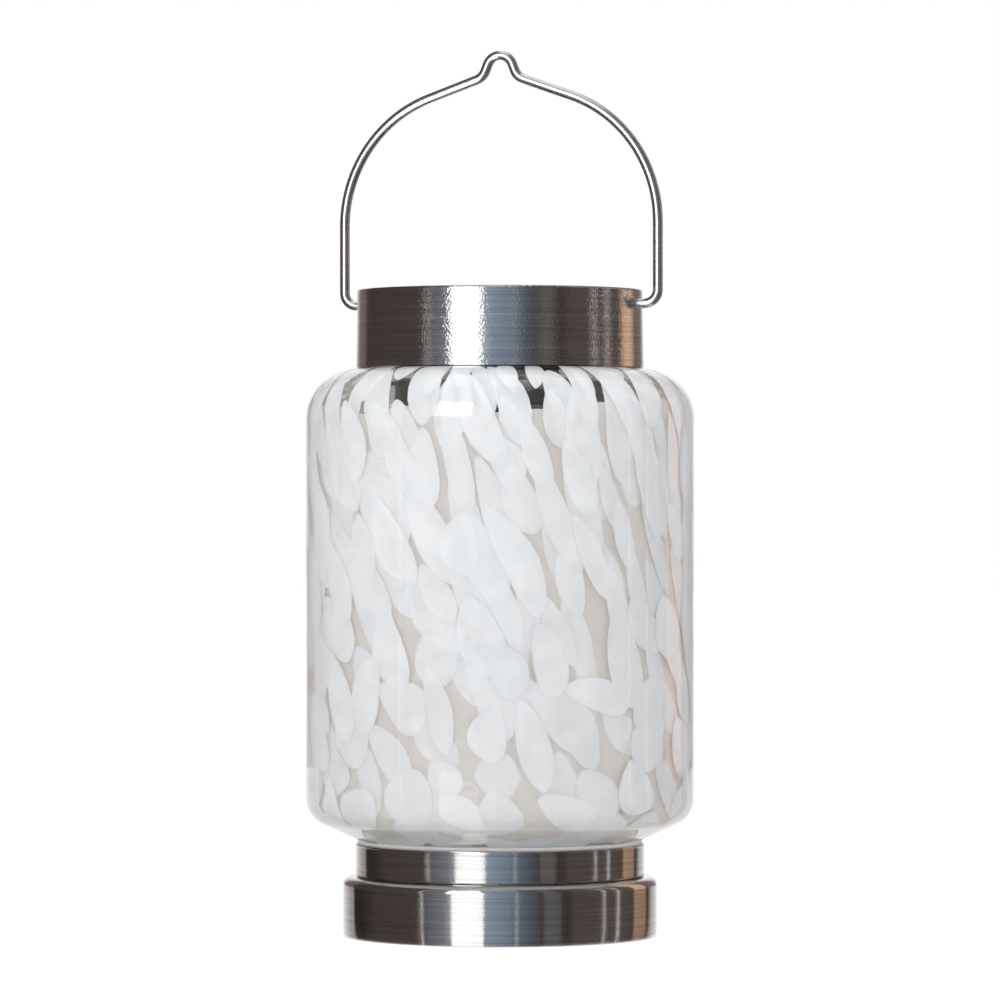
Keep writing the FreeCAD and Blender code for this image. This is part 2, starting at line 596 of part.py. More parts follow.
def make_housing(s, r, z):
    """Moulded module housing: a drum with a deck for the solar panel, three lugs and three pillars."""
    housing = new_body("module_housing")
    turn(housing, "drum", (
        (0, z.housing_top), (r.flange, z.housing_top), (r.flange, z.housing_top - s.flange_thickness),
        (r.module, z.housing_top - s.flange_thickness), (r.module, z.cover_top), (r.module_bore, z.cover_top),
        (r.module_bore, z.deck), (0, z.deck)))
    recess = new_sketch(housing, "recess_square", "XY_Plane", z.housing_top)
    half = s.panel_width / 2 + s.panel_clear
    draw_box(recess, -half, half, -half, half)
    cut(housing, "recess", recess, s.panel_thickness)
    round_edges(housing, "recess_corners", s.panel_corner, upright_edges(
        housing.Shape, ((half, half), (-half, half), (half, -half), (-half, -half))))
    hole = new_sketch(housing, "lead_circle", "XY_Plane")
    draw_circle(hole, 0, -s.lead_offset, s.lead_hole)
    cut(housing, "lead_passage", hole)

    lug = new_sketch(housing, "lug_outline", "XY_Plane", z.liner_top)
    wall_middle = r.module - s.housing_wall / 2
    draw_box(lug, -s.lug_width / 2, s.lug_width / 2, wall_middle, r.lug)
    lug_form = raise_from(housing, "lug", lug, z.housing_top - z.liner_top)
    pilot = new_sketch(housing, "lug_pilot", "XY_Plane", z.liner_top + s.screw_length)
    draw_circle(pilot, 0, r.lug_screw, s.screw_radius)
    pilot_form = cut(housing, "lug_hole", pilot, s.screw_length)
    pillar = new_sketch(housing, "pillar_circle", "XY_Plane", z.cover_top)
    draw_circle(pillar, 0, r.pillars, s.pillar_radius)
    pillar_form = raise_from(housing, "pillar", pillar, s.pillar_height)
    bore = new_sketch(housing, "pillar_pilot", "XY_Plane", z.cover_top + s.screw_length)
    draw_circle(bore, 0, r.pillars, s.screw_radius)
    bore_form = cut(housing, "pillar_hole", bore, s.screw_length)
    repeat(housing, [lug_form, pilot_form, pillar_form, bore_form], pilot)

    gasket = new_body("panel_gasket")
    turn(gasket, "ring", (
        (r.window, z.housing_top), (r.flange, z.housing_top),
        (r.flange, z.cap_ceiling), (r.window, z.cap_ceiling)))

    panel = new_body("solar_panel")
    square = new_sketch(panel, "square", "XY_Plane", z.panel_seat)
    side = s.panel_width / 2
    draw_box(square, -side, side, -side, side)
    raise_from(panel, "laminate", square, s.panel_thickness)
    round_edges(panel, "corners", s.panel_corner, upright_edges(
        panel.Shape, ((side, side), (-side, side), (side, -side), (-side, -side))))


def door_places(s, r):
    """Edges of the battery door and of its opening, and the line of its hinge."""
    place = SimpleNamespace()
    place.end = r.rib - s.door_end
    place.free = s.cell_offset - s.cell_radius - s.door_margin
    place.hinge = s.cell_offset + s.cell_radius + s.door_margin + s.door_thickness / 2
    place.opening_end = place.end + s.door_clear
    place.opening_free = place.free - s.door_clear
    place.opening_back = place.hinge + s.door_thickness / 2 + s.door_clear
    return place


def make_cover(s, r, z, door):
    """Bottom cover of the module: light collar, battery opening, switch slot, ribs and posts."""
    cover = new_body("module_cover")
    light_bore = s.diode_radius + s.diode_fit
    collar_bottom = z.module_bottom - s.boss_height
    root = s.boss_radius + s.boss_flare
    turn(cover, "plate", (
        (light_bore, collar_bottom), (s.boss_radius, collar_bottom), (root, z.module_bottom),
        (r.module, z.module_bottom), (r.module, z.cover_top), (light_bore, z.cover_top)))
    round_rings(cover, "edge", s.cover_edge, (r.module, z.module_bottom))
    round_rings(cover, "collar_root", s.boss_flare, (root, z.module_bottom), (s.boss_radius, collar_bottom))

    opening = new_sketch(cover, "door_outline", "XY_Plane")
    draw_box(opening, -door.opening_end, door.opening_end, door.opening_free, door.opening_back)
    cut(cover, "door_opening", opening)
    socket = new_sketch(cover, "socket_circle", "YZ_Plane")
    draw_circle(socket, door.hinge, z.hinge, s.door_thickness / 2 + s.pin_fit)
    reach = door.end + s.pin_length + s.pin_fit
    cut(cover, "sockets", socket, reach * 2, centred=True)

    slot = new_sketch(cover, "slot_outline", "XY_Plane")
    slot_half = (s.knob_length + s.knob_travel) / 2 + s.knob_clear
    slot_side = s.knob_width / 2 + s.knob_clear
    draw_box(slot, -slot_half, slot_half, -s.switch_back - slot_side, slot_side - s.switch_back)
    cut(cover, "switch_slot", slot)

    heads = new_sketch(cover, "screw_heads", "XY_Plane", z.module_bottom + s.screw_head)
    shanks = new_sketch(cover, "screw_shanks", "XY_Plane")
    for index in range(THREE):
        across, along = around(r.pillars, FIRST_ANGLE + index * FULL_TURN / THREE)
        draw_circle(heads, across, along, s.screw_head_radius + s.screw_fit)
        draw_circle(shanks, across, along, s.screw_radius + s.screw_fit)
    cut(cover, "counterbores", heads, s.screw_head)
    cut(cover, "clearance", shanks)

    ribs = new_sketch(cover, "rib_outlines", "XY_Plane", z.cover_top)
    for side in (1, -1):
        inner = r.rib * side
        outer = (r.rib + s.rib_thickness) * side
        draw_box(ribs, inner, outer, s.cell_offset - r.rib_half, s.cell_offset + r.rib_half)
    raise_from(cover, "ribs", ribs, s.rib_height)
    posts = new_sketch(cover, "post_circles", "XY_Plane", z.cover_top)
    for side in (1, -1):
        draw_circle(posts, s.post_across * side, s.post_inset - r.board_back, s.post_radius)
    raise_from(cover, "posts", posts, s.board_lift)

    screws = new_body("cover_screws")
    seat = z.module_bottom + s.screw_head
    make_fasteners(screws, r.pillars, (
        ("head", s.screw_head_radius, z.module_bottom, seat),
        ("shank", s.screw_radius, seat, seat + s.screw_length)))


def make_door(s, z, door):
    """Battery door: a plate with a round hinge edge, two pins and a finger notch."""
    body = new_body("battery_door")
    half = s.door_thickness / 2
    plate = new_sketch(body, "plate_outline", "XY_Plane", z.hinge - half)
    draw_box(plate, -door.end, door.end, door.free, door.hinge)
    raise_from(body, "plate", plate, s.door_thickness)
    notch = new_sketch(body, "notch_circle", "XY_Plane")
    draw_circle(notch, 0, door.free, s.notch_radius)
    cut(body, "notch", notch)
    pins = new_sketch(body, "pin_circle", "YZ_Plane")
    draw_circle(pins, door.hinge, z.hinge, half)
    barrel = raise_from(body, "barrel", pins, (door.end + s.pin_length) * 2)
    barrel.Midplane = True
    DOCUMENT.recompute()


def make_battery(s, r, z):
    """Battery cell along X with its button, a plain contact and a folded spring contact."""
    nose = r.rib - s.contact_gauge - s.contact_touch
    shoulder = nose - s.button_height
    tail = shoulder - s.cell_length
    cell = new_body("battery")
    sketch = new_sketch(cell, "profile", "XZ_Plane")
    draw_outline(sketch, (
        (tail, 0), (nose, 0), (nose, s.button_radius), (shoulder, s.button_radius),
        (shoulder, s.cell_radius), (tail, s.cell_radius)))
    form = cell.newObject("PartDesign::Revolution", "battery_can")
    form.Profile = sketch
    form.ReferenceAxis = (sketch, ["H_Axis"])
    form.Angle = FULL_TURN
    DOCUMENT.recompute()
    ends = [
        f"Edge{index}" for index, edge in enumerate(cell.Shape.Edges, start=1)
        if isinstance(edge.Curve, Part.Circle) and abs(edge.Curve.Radius - s.cell_radius.number) < NEAR]
    round_edges(cell, "ends", s.cell_edge, ends)
    cell.setExpression("Placement.Base.y", s.cell_offset.text)
    cell.setExpression("Placement.Base.z", z.cell.text)

    low = z.cover_top + s.cell_clear
    high = low + s.contact_height
    gauge = s.contact_gauge
    plain = new_body("contact_positive")
    draw_contact(plain, s, (
        (r.rib, low), (r.rib, high), (r.rib - gauge, high), (r.rib - gauge, low)))
    touch = tail - s.contact_touch
    tail_end = touch - gauge * 2
    tail_low = z.cell - s.spring_tail
    spring = new_body("contact_negative")
    draw_contact(spring, s, (
        (-r.rib, low), (-r.rib, high), (gauge * 2 - r.rib, high), (touch, z.cell),
        (tail_end, tail_low), (tail_end - gauge, tail_low), (touch - gauge * FOLD_SLANT, z.cell),
        (gauge - r.rib, high - gauge * 2), (gauge - r.rib, low)))


def draw_contact(body, s, corners):
    sketch = new_sketch(body, "section", "XZ_Plane")
    draw_outline(sketch, corners)
    form = raise_from(body, "strip", sketch, s.contact_width)
    form.Midplane = True
    body.setExpression("Placement.Base.y", s.cell_offset.text)
    DOCUMENT.recompute()


def make_electronics(s, r, z):
    """Circuit board, light-emitting diode, and slide switch with its knob."""
    board = new_body("circuit_board")
    sketch = new_sketch(board, "outline", "XY_Plane", z.board)
    draw_box(sketch, -s.board_half, s.board_half, -r.board_back, s.board_front)
    raise_from(board, "panel", sketch, s.board_thickness)

    diode = new_body("light_diode")
    brim = s.diode_radius + s.diode_brim
    tip = z.cover_top - s.diode_length
    turn(diode, "lens", (
        (0, tip), (s.diode_radius, tip), (s.diode_radius, z.cover_top), (brim, z.cover_top),
        (brim, z.cover_top + s.diode_flange), (0, z.cover_top + s.diode_flange)))
    round_rings(diode, "dome", s.diode_dome, (s.diode_radius, tip))
    legs = new_sketch(diode, "leg_circles", "XY_Plane", z.cover_top + s.diode_flange)
    for side in (1, -1):
        draw_circle(legs, s.pin_spacing * side, 0, s.pin_gauge)
    raise_from(diode, "legs", legs, s.board_lift - s.diode_flange)

    switch = new_body("switch_body")
    case = new_sketch(switch, "case_outline", "XY_Plane", z.switch)
    side = s.switch_depth / 2
    draw_box(case, -s.switch_half, s.switch_half, -s.switch_back - side, side - s.switch_back)
    raise_from(switch, "case", case, z.board - z.switch)
    slot = new_sketch(switch, "slot_outline", "XY_Plane", z.switch + s.slot_depth)
    slot_half = (s.knob_length + s.knob_travel) / 2 + s.knob_clear
    slot_side = s.knob_width / 2 + s.knob_clear
    draw_box(slot, -slot_half, slot_half, -s.switch_back - slot_side, slot_side - s.switch_back)
    cut(switch, "slot", slot, s.slot_depth)

    knob = new_body("switch_slider")
    outline = new_sketch(knob, "outline", "XY_Plane", z.module_bottom - s.knob_proud)
    middle = -s.knob_travel / 2
    draw_box(
        outline, middle - s.knob_length / 2, middle + s.knob_length / 2,
        -s.switch_back - s.knob_width / 2, s.knob_width / 2 - s.switch_back)
    height = z.switch + s.slot_depth - s.knob_clear - z.module_bottom + s.knob_proud
    raise_from(knob, "stem", outline, height)


def bend_path(points, bend):
    """Straight runs through the points, joined by tangent arcs of one radius."""
    edges = []
    start = points[0]
    for before, corner, after in zip(points, points[1:], points[2:]):
        inward = (before - corner).normalize()
        outward = (after - corner).normalize()
        half = (math.pi - inward.getAngle(outward)) / 2
        setback = bend * math.tan(half)
        arc_start = corner + inward * setback
        arc_end = corner + outward * setback
        towards = (inward + outward).normalize()
        middle = corner + towards * (bend / math.cos(half) - bend)
        edges.append(Part.LineSegment(start, arc_start).toShape())
        edges.append(Part.Arc(arc_start, middle, arc_end).toShape())
        start = arc_end
    edges.append(Part.LineSegment(start, points[-1]).toShape())
    return Part.Wire(edges)


def make_leads(label, routes, bend, radius):
    """Insulated wires, each a round section along its route."""
    solids = []
    for route in routes:
        path = bend_path(route, bend)
        section = Part.Wire(Part.makeCircle(radius, route[0], route[1] - route[0]))
        tube = path.makePipeShell([section], True, False)
        expected = math.pi * radius ** 2 * path.Length
        if abs(tube.Volume - expected) > expected * NEAR:
            raise RuntimeError(f"{label} has the wrong volume")
        solids.append(tube)
    leads = DOCUMENT.addObject("Part::Feature", label)
    leads.Label = label
    leads.Shape = Part.Compound(solids)
    PARTS.append(leads)


def make_wiring(s, r, z):
    """Two wires from the solar panel down to the board, and two from the battery contacts."""
    bend = s.lead_bend.number
    top = z.panel_seat.number
    foot = z.board_top.number
    along = -s.lead_offset.number
    third = (top - foot) / THREE
    upper = top - third
    lower = foot + third
    routes = []
    for side in (1, -1):
        inside = s.lead_spacing.number * side
        outside = inside + s.lead_spread.number * side
        routes.append([
            Vector(inside, along, top), Vector(inside, along, upper),
            Vector(outside, along, lower), Vector(outside, along, foot)])
    make_leads("solar_leads", routes, bend, s.lead_radius.number)

    tab = r.rib.number - s.contact_gauge.number / 2
    edge = s.cell_offset.number - s.contact_width.number / 2
    height = z.cover_top.number + s.cell_clear.number + s.contact_tab.number
    landing = s.board_half.number - bend
    turn_line = (edge + s.board_front.number) / 2 - s.lead_radius.number
    board_line = s.board_front.number - bend
    routes = []
    for side in (1, -1):
        routes.append([
            Vector(tab * side, edge, height), Vector(tab * side, turn_line, height),
            Vector(landing * side, board_line, height + bend),
            Vector(landing * side, board_line, foot)])
    make_leads("battery_leads", routes, bend / 2, s.lead_radius.number)


def make_bail(s, r, z):
    """Bent wire bail: short ends in the cap, upright legs, an arch, and a raised crown for a hook."""
    bail = new_body("bail_handle")
    spine = new_sketch(bail, "path", "XZ_Plane")
    leg = r.bail_leg.number
    level = z.bail_axis.number
    crown_top = level + s.bail_rise.number
    bend, arch = s.bail_bend.number, s.arch_radius.number
    flare, crown = s.flare_radius.number, s.crown_radius.number
    rise, steep = math.radians(s.arch_slope.number), math.radians(s.crown_slope.number)
    side = s.crown_side.number
    quarter = math.pi / 2

    crown_centre = Vector(0, crown_top - crown, 0)
    side_top = crown_centre + Vector(math.sin(steep), math.cos(steep), 0) * crown
    side_foot = side_top + Vector(math.cos(steep), -math.sin(steep), 0) * side
    flare_centre = side_foot + Vector(math.sin(steep), math.cos(steep), 0) * flare
    slope_top = flare_centre - Vector(math.sin(rise), math.cos(rise), 0) * flare
    arch_end = leg - arch + arch * math.sin(rise)
    slope_run = (arch_end - slope_top.x) / math.cos(rise)
    slope_foot = slope_top + Vector(math.cos(rise), -math.sin(rise), 0) * slope_run
    arch_centre = slope_foot - Vector(math.sin(rise), math.cos(rise), 0) * arch
    leg_top = Vector(leg, arch_centre.y, 0)

    def arc(centre, radius, start, end):
        return Part.ArcOfCircle(Part.Circle(centre, Vector(0, 0, 1), radius), start, end)

    spine.addGeometry([
        Part.LineSegment(Vector(r.bail_end.number, level, 0), Vector(leg - bend, level, 0)),
        arc(Vector(leg - bend, level + bend, 0), bend, -quarter, 0),
        Part.LineSegment(Vector(leg, level + bend, 0), leg_top),
        arc(arch_centre, arch, 0, quarter - rise),
        Part.LineSegment(slope_foot, slope_top),
        arc(flare_centre, flare, math.pi + quarter - steep, math.pi + quarter - rise),
        Part.LineSegment(side_foot, side_top),
        arc(crown_centre, crown, quarter - steep, quarter)], False)
    end, foot_bend, upright, arch_bend, slope, flare_bend, crown_flank, crown_bend = range(8)
    start_of, end_of, centre_of = 1, 2, 3
    spine.addConstraint(Sketcher.Constraint("Horizontal", end))
    spine.addConstraint(Sketcher.Constraint("Vertical", upright))
    joints = (
        (end, end_of, foot_bend, start_of), (foot_bend, end_of, upright, start_of),
        (upright, end_of, arch_bend, start_of), (arch_bend, end_of, slope, start_of),
        (slope, end_of, flare_bend, end_of), (flare_bend, start_of, crown_flank, start_of),
        (crown_flank, end_of, crown_bend, start_of))
    for joint in joints:
        spine.addConstraint(Sketcher.Constraint("Tangent", *joint))
    bends = (
        (foot_bend, s.bail_bend), (arch_bend, s.arch_radius), (flare_bend, s.flare_radius),
        (crown_bend, s.crown_radius))
    for item, radius in bends:
        tie(spine, Sketcher.Constraint("Radius", item, radius.number), radius)
    pin_point(spine, end, start_of, r.bail_end, z.bail_axis)
    tie(spine, Sketcher.Constraint("DistanceX", -1, 1, upright, start_of, leg), r.bail_leg)
    pin_point(spine, crown_bend, end_of, 0, z.bail_axis + s.bail_rise)
    spine.addConstraint(Sketcher.Constraint("PointOnObject", crown_bend, centre_of, -2))
    for item, size in ((slope, s.arch_slope), (crown_flank, s.crown_slope)):
        angle = math.radians(FULL_TURN / 2 - size.number)
        index = spine.addConstraint(Sketcher.Constraint("Angle", item, angle))
        spine.setExpression(f"Constraints[{index}]", f"({FULL_TURN / 2} - {size.text}) * 1 deg")
    tie(spine, Sketcher.Constraint("Distance", crown_flank, side), s.crown_side)

    section = new_sketch(bail, "section", "YZ_Plane", r.bail_end)
    draw_circle(section, 0, z.bail_axis, s.wire_radius)
    DOCUMENT.recompute()
    wire = bail.newObject("PartDesign::AdditivePipe", "bail_wire")
    wire.Profile = section
    wire.Spine = (spine, [f"Edge{index}" for index in range(1, spine.GeometryCount + 1)])
    DOCUMENT.recompute()
    upset = new_sketch(bail, "upset_circle", "YZ_Plane", r.bail_end)
    draw_circle(upset, 0, z.bail_axis, s.upset_radius)
    head = raise_from(bail, "upset", upset, s.upset_length)
    both = bail.newObject("PartDesign::Mirrored", "bail_both_sides")
    both.Originals = [wire, head]
    both.MirrorPlane = (origin_plane(bail, "YZ_Plane"), [""])
    bail.Tip = both
    DOCUMENT.recompute()


def check_document():
    for item in DOCUMENT.Objects:
        if "Invalid" in item.State or "Error" in item.State:
            raise RuntimeError(f"{item.Label} failed: {item.State}")
    for part in PARTS:
        if part.Shape.isNull() or not part.Shape.isValid() or not part.Shape.Solids:
            raise RuntimeError(f"{part.Label} has no valid solid")


def main():
    s = fill_sheet()
    r = part_radii(s)
    z = part_levels(s)
    door = door_places(s, r)
    make_base(s, r, z)
    make_glass(s, r, z)
    make_cap(s, r, z)
    make_housing(s, r, z)
    make_cover(s, r, z, door)
    make_door(s, z, door)
    make_battery(s, r, z)
    make_electronics(s, r, z)
    make_wiring(s, r, z)
    make_bail(s, r, z)
    DOCUMENT.recompute()
    check_document()
    os.makedirs("parts", exist_ok=True)
    for part in PARTS:
        part.Shape.exportStep(os.path.join("parts", f"{part.Label}.step"))
        box = part.Shape.BoundBox
        spans = ((box.XMin, box.XMax), (box.YMin, box.YMax), (box.ZMin, box.ZMax))
        extent = ", ".join(f"{low:.2f} to {high:.2f}" for low, high in spans)
        print(f"{part.Label}: {len(part.Shape.Solids)} solids, {part.Shape.Volume:.1f} mm3, {extent}")


main()
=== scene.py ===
"""Dresses the frame of a solar jar lantern: spotted blown glass, steel cap and base, and a bent wire bail."""

import math
import random

import bmesh
import bpy
import numpy as np
from bpy.props import FloatProperty, FloatVectorProperty, IntProperty, PointerProperty
from bpy.types import Operator, Panel, PropertyGroup
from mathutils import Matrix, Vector


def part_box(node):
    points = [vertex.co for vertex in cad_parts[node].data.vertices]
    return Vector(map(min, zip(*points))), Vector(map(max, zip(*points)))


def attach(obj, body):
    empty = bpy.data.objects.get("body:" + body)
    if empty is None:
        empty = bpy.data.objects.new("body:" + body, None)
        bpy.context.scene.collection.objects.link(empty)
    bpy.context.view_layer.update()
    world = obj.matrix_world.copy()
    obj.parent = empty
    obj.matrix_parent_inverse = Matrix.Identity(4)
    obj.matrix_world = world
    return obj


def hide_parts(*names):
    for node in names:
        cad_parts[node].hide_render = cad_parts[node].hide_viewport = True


bl_info = {
    "name": "Spotted jar lantern",
    "version": (1, 0, 0),
    "blender": (4, 5, 0),
    "location": "View3D > Sidebar > Lantern",
    "description": "Builds the looks of a solar jar lantern round its packed frame",
    "category": "Object",
}

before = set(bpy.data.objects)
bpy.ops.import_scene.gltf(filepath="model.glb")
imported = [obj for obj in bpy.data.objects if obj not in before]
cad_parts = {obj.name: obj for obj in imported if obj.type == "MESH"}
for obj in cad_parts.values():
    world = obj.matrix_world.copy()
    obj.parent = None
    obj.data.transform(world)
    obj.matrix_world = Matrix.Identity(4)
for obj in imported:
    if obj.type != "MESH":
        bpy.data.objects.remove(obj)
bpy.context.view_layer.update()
MM = 0.001
FULL_TURN = 2 * math.pi
BODY_JAR, BODY_LID = "jar", "lid"


def length(name, description, default):
    return FloatProperty(name=name, description=description, default=default, unit="LENGTH", precision=5)


def angle(name, description, degrees):
    return FloatProperty(name=name, description=description, default=math.radians(degrees), unit="ROTATION")


def lamp_power(name, description, default):
    return FloatProperty(name=name, description=description, default=default, unit="POWER")


def number(name, description, default):
    return FloatProperty(name=name, description=description, default=default)


def colour(name, description, default):
    return FloatVectorProperty(
        name=name, description=description, default=default, subtype="COLOR", size=3, min=0, max=1)


class GlassSettings(PropertyGroup):
    """Line of the blown glass between its steel collar and its neck."""

    radius: length("Radius", "Outer radius of the wall", 60.2 * MM)
    foot_radius: length("Foot radius", "Radius where the cone starts", 42.0 * MM)
    foot_height: length("Foot height", "Height where the cone starts", 29.1 * MM)
    cone_angle: angle("Cone angle", "Rise of the cone above the collar", 24.7)
    knuckle: length("Knuckle", "Rounding between the cone and the wall", 8.5 * MM)
    shoulder: length("Shoulder", "Rounding of the shoulder", 15.5 * MM)
    shoulder_height: length("Shoulder height", "Height of the top of the shoulder", 175.9 * MM)
    neck_radius: length("Neck radius", "Outer radius of the neck", 40.6 * MM)
    thread_bottom: length("Thread bottom", "Height where the neck's thread starts", 178.4 * MM)
    thread_pitch: length("Thread pitch", "Rise of the thread in one turn", 4.2 * MM)
    thread_ridge: length("Thread ridge", "Radius of the thread's ridge", 0.42 * MM)
    tint: colour("Tint", "Colour of the clear glass", (0.975, 0.98, 0.975))


class SpotSettings(PropertyGroup):
    """Fused opal spots inside the glass wall."""

    seed: IntProperty(name="Seed", description="Start of the random scatter", default=11)
    bottom_width: length("Bottom width", "Width of a spot near the collar", 14.5 * MM)
    bottom_length: length("Bottom length", "Length of a spot near the collar", 20.0 * MM)
    middle_width: length("Middle width", "Width of a spot halfway up", 10.6 * MM)
    middle_length: length("Middle length", "Length of a spot halfway up", 31.0 * MM)
    top_width: length("Top width", "Width of a spot on the shoulder", 8.2 * MM)
    top_length: length("Top length", "Length of a spot on the shoulder", 29.0 * MM)
    row_gap: length("Row gap", "Height between rows of spots", 12.0 * MM)
    crowding: number("Crowding", "Spacing of the spots in a row, as a share of their width", 1.08)
    top_crowding: number("Top crowding", "The same on the shoulder, where the glass is clearer", 1.3)
    lean: angle("Lean", "Lean of the spots halfway up", 27)
    first_depth: length("First depth", "Depth of the outermost spots in the glass", 0.5 * MM)
    last_depth: length("Last depth", "Depth of the innermost spots in the glass", 2.4 * MM)
    half_thickness: length("Half thickness", "Half the thickness of a spot", 0.18 * MM)
    outer_colour: colour("Outer colour", "Colour of a spot from outside", (0.915, 0.95, 0.99))
    # Painted shade: the rim is greyer partly for the thin edge's translucency and partly as painted shadow
    # lines where spots overlap.
    rim_shade_colour: colour("Rim colour", "Colour at the thin rim of a spot", (0.885, 0.90, 0.92))
    # Painted shade: the inner side is warmer and darker, standing in for the dim, warm light inside the jar.
    inner_shade_colour: colour("Inner colour", "Colour of a spot from inside", (0.90, 0.855, 0.81))
    # The film below is a sheet of painted shade: its cream colour stands in for the dim inside seen between
    # the spots.
    film_top: length("Film top", "Height of the upper edge of the cream film behind the spots", 163.3 * MM)
    film_depth: length("Film depth", "Depth of the cream film in the glass", 2.66 * MM)
    film_thickness: length("Film thickness", "Thickness of the cream film", 0.12 * MM)
    shade_film_colour: colour("Film colour", "Colour of the cream film", (0.85, 0.825, 0.80))


class MetalSettings(PropertyGroup):
    """Finishes of the steel, wire and small hardware."""

    steel: colour("Steel", "Colour of the steel", (0.67, 0.655, 0.64))
    steel_worn: colour("Worn steel", "Colour of the steel between its brush lines", (0.47, 0.455, 0.44))
    steel_roughness: number("Steel roughness", "Roughness of the cap and the base", 0.12)
    cap_speckle: length("Cap speckle", "Depth of the speckle in the brushed cap", 0.055 * MM)
    base_speckle: length("Base speckle", "Depth of the speckle in the polished base", 0.01 * MM)
    wire: colour("Wire", "Colour of the bail's wire", (0.80, 0.79, 0.78))
    zinc: colour("Zinc", "Colour of the screws and rivets", (0.56, 0.57, 0.58))
    nickel: colour("Nickel", "Colour of the battery contacts", (0.66, 0.63, 0.57))


class MouldedSettings(PropertyGroup):
    """Colours of the moulded and soft pieces."""

    plastic: colour("Plastic", "Colour of the light module", (0.012, 0.012, 0.013))
    rubber: colour("Rubber", "Colour of the gaskets", (0.02, 0.02, 0.021))
    foam: colour("Foam", "Colour of the pad under the base", (0.12, 0.12, 0.125))
    silicone: colour("Silicone", "Colour of the bead round the glass foot", (0.80, 0.80, 0.79))
    laminate: colour("Laminate", "Colour of the solar panel's edge", (0.02, 0.03, 0.035))
    cell: colour("Cell", "Colour of a solar cell", (0.010, 0.016, 0.045))
    ribbon: colour("Ribbon", "Colour of the solar panel's ribbons", (0.55, 0.56, 0.57))
    board: colour("Board", "Colour of the circuit board", (0.02, 0.13, 0.05))
    resin: colour("Resin", "Colour of the light-emitting diode", (0.95, 0.93, 0.86))
    phosphor: colour("Phosphor", "Colour of the diode's chip", (0.85, 0.62, 0.08))
    sleeve: colour("Sleeve", "Colour of the battery's sleeve", (0.05, 0.22, 0.10))
    lead: colour("Lead", "Colour of the wires", (0.45, 0.03, 0.02))


class StageSettings(PropertyGroup):
    """Camera, floor and studio light."""

    distance: length("Distance", "Distance of the camera from the lantern's axis", 1.736)
    eye_height: length("Eye height", "Height of the level camera", 0.1353)
    turn: angle("Turn", "Turn of the camera towards the right end of the bail", 18)
    lens: FloatProperty(name="Lens", description="Focal length", default=201.6, unit="CAMERA")
    ambient: number("Ambient", "Strength of the light from all round", 1.36)
    floor_size: length("Floor size", "Half the side of the floor", 6.0)
    room_radius: length("Room radius", "Radius of the ring of reflecting cards", 1.1)
    room_height: length("Room height", "Height of the ring of reflecting cards", 3.0)
    table_inner: length("Table inner", "Inner radius of the card on the table", 0.051)
    table_reach: length("Table reach", "Reach of the card on the table", 1.1)
    key_distance: length("Key distance", "Distance of the key softbox", 0.9)
    key_height: length("Key height", "Height of the middle of the key softbox", 0.4425)
    key_width: length("Key width", "Width of the key softbox", 0.37)
    key_tall: length("Key length", "Height of the key softbox itself", 0.535)
    key_turn: angle("Key turn", "Place of the key softbox to the left of the camera", 27.5)
    key_power: lamp_power("Key power", "Power of the key softbox", 1.7)
    key_glow: number("Key glow", "Brightness of the key softbox in the steel and the glass", 4.5)
    beyond: colour("Beyond", "Colour of the room that is seen through the glass", (0.68, 0.635, 0.595))
    fill_turn: angle("Fill turn", "Place of the fill softbox to the right of the camera", 66)
    fill_distance: length("Fill distance", "Distance of the fill softbox", 1.0)
    fill_size: length("Fill size", "Side of the fill softbox", 0.7)
    fill_power: lamp_power("Fill power", "Power of the fill softbox", 0.8)
    top_height: length("Top height", "Height of the overhead softbox", 1.5)
    top_size: length("Top size", "Side of the overhead softbox", 0.9)
    aim_height: length("Aim height", "Height that the softboxes point at", 0.16)
    top_power: lamp_power("Top power", "Power of the overhead softbox", 4.0)


class LanternSettings(PropertyGroup):
    """All settings of the lantern."""

    glass: PointerProperty(type=GlassSettings)
    spots: PointerProperty(type=SpotSettings)
    metal: PointerProperty(type=MetalSettings)
    moulded: PointerProperty(type=MouldedSettings)
    stage: PointerProperty(type=StageSettings)


def put(tree, kind, inputs=None, **settings):
    """Adds a node; an input is a plain value or the output that feeds it."""
    node = tree.nodes.new(kind)
    for name, value in settings.items():
        setattr(node, name, value)
    for key, value in (inputs or {}).items():
        if isinstance(value, bpy.types.NodeSocket):
            tree.links.new(value, node.inputs[key])
        else:
            node.inputs[key].default_value = value
    return node


def new_material(name):
    material = bpy.data.materials.new(name)
    material.use_nodes = True
    tree = material.node_tree
    tree.nodes.clear()
    return material, tree


def end_material(tree, shader):
    put(tree, "ShaderNodeOutputMaterial", {"Surface": shader})


def principled(material, inputs):
    """Ends a material with one principled shader."""
    shader = put(material.node_tree, "ShaderNodeBsdfPrincipled", inputs)
    end_material(material.node_tree, shader.outputs["BSDF"])
    return material


def lamp_lit(material, glass, through):
    """Ends a glass material that lets a share of the lamps' light pass straight through."""
    tree = material.node_tree
    clear = put(tree, "ShaderNodeBsdfTransparent")
    mixed = put(tree, "ShaderNodeMixShader", {0: through, 1: glass.outputs["BSDF"], 2: clear.outputs["BSDF"]})
    end_material(tree, mixed.outputs["Shader"])
    return material


def opaque(rgb):
    return (rgb[0], rgb[1], rgb[2], 1.0)


def place(tree, scale=(1, 1, 1)):
    """Object coordinates in metres, stretched by a scale."""
    coordinates = put(tree, "ShaderNodeTexCoord").outputs["Object"]
    return put(tree, "ShaderNodeMapping", {"Vector": coordinates, "Scale": scale}).outputs["Vector"]


def noise(tree, vector, scale, detail=2.0, roughness=0.5):
    inputs = {"Vector": vector, "Scale": scale, "Detail": detail, "Roughness": roughness}
    return put(tree, "ShaderNodeTexNoise", inputs).outputs[0]


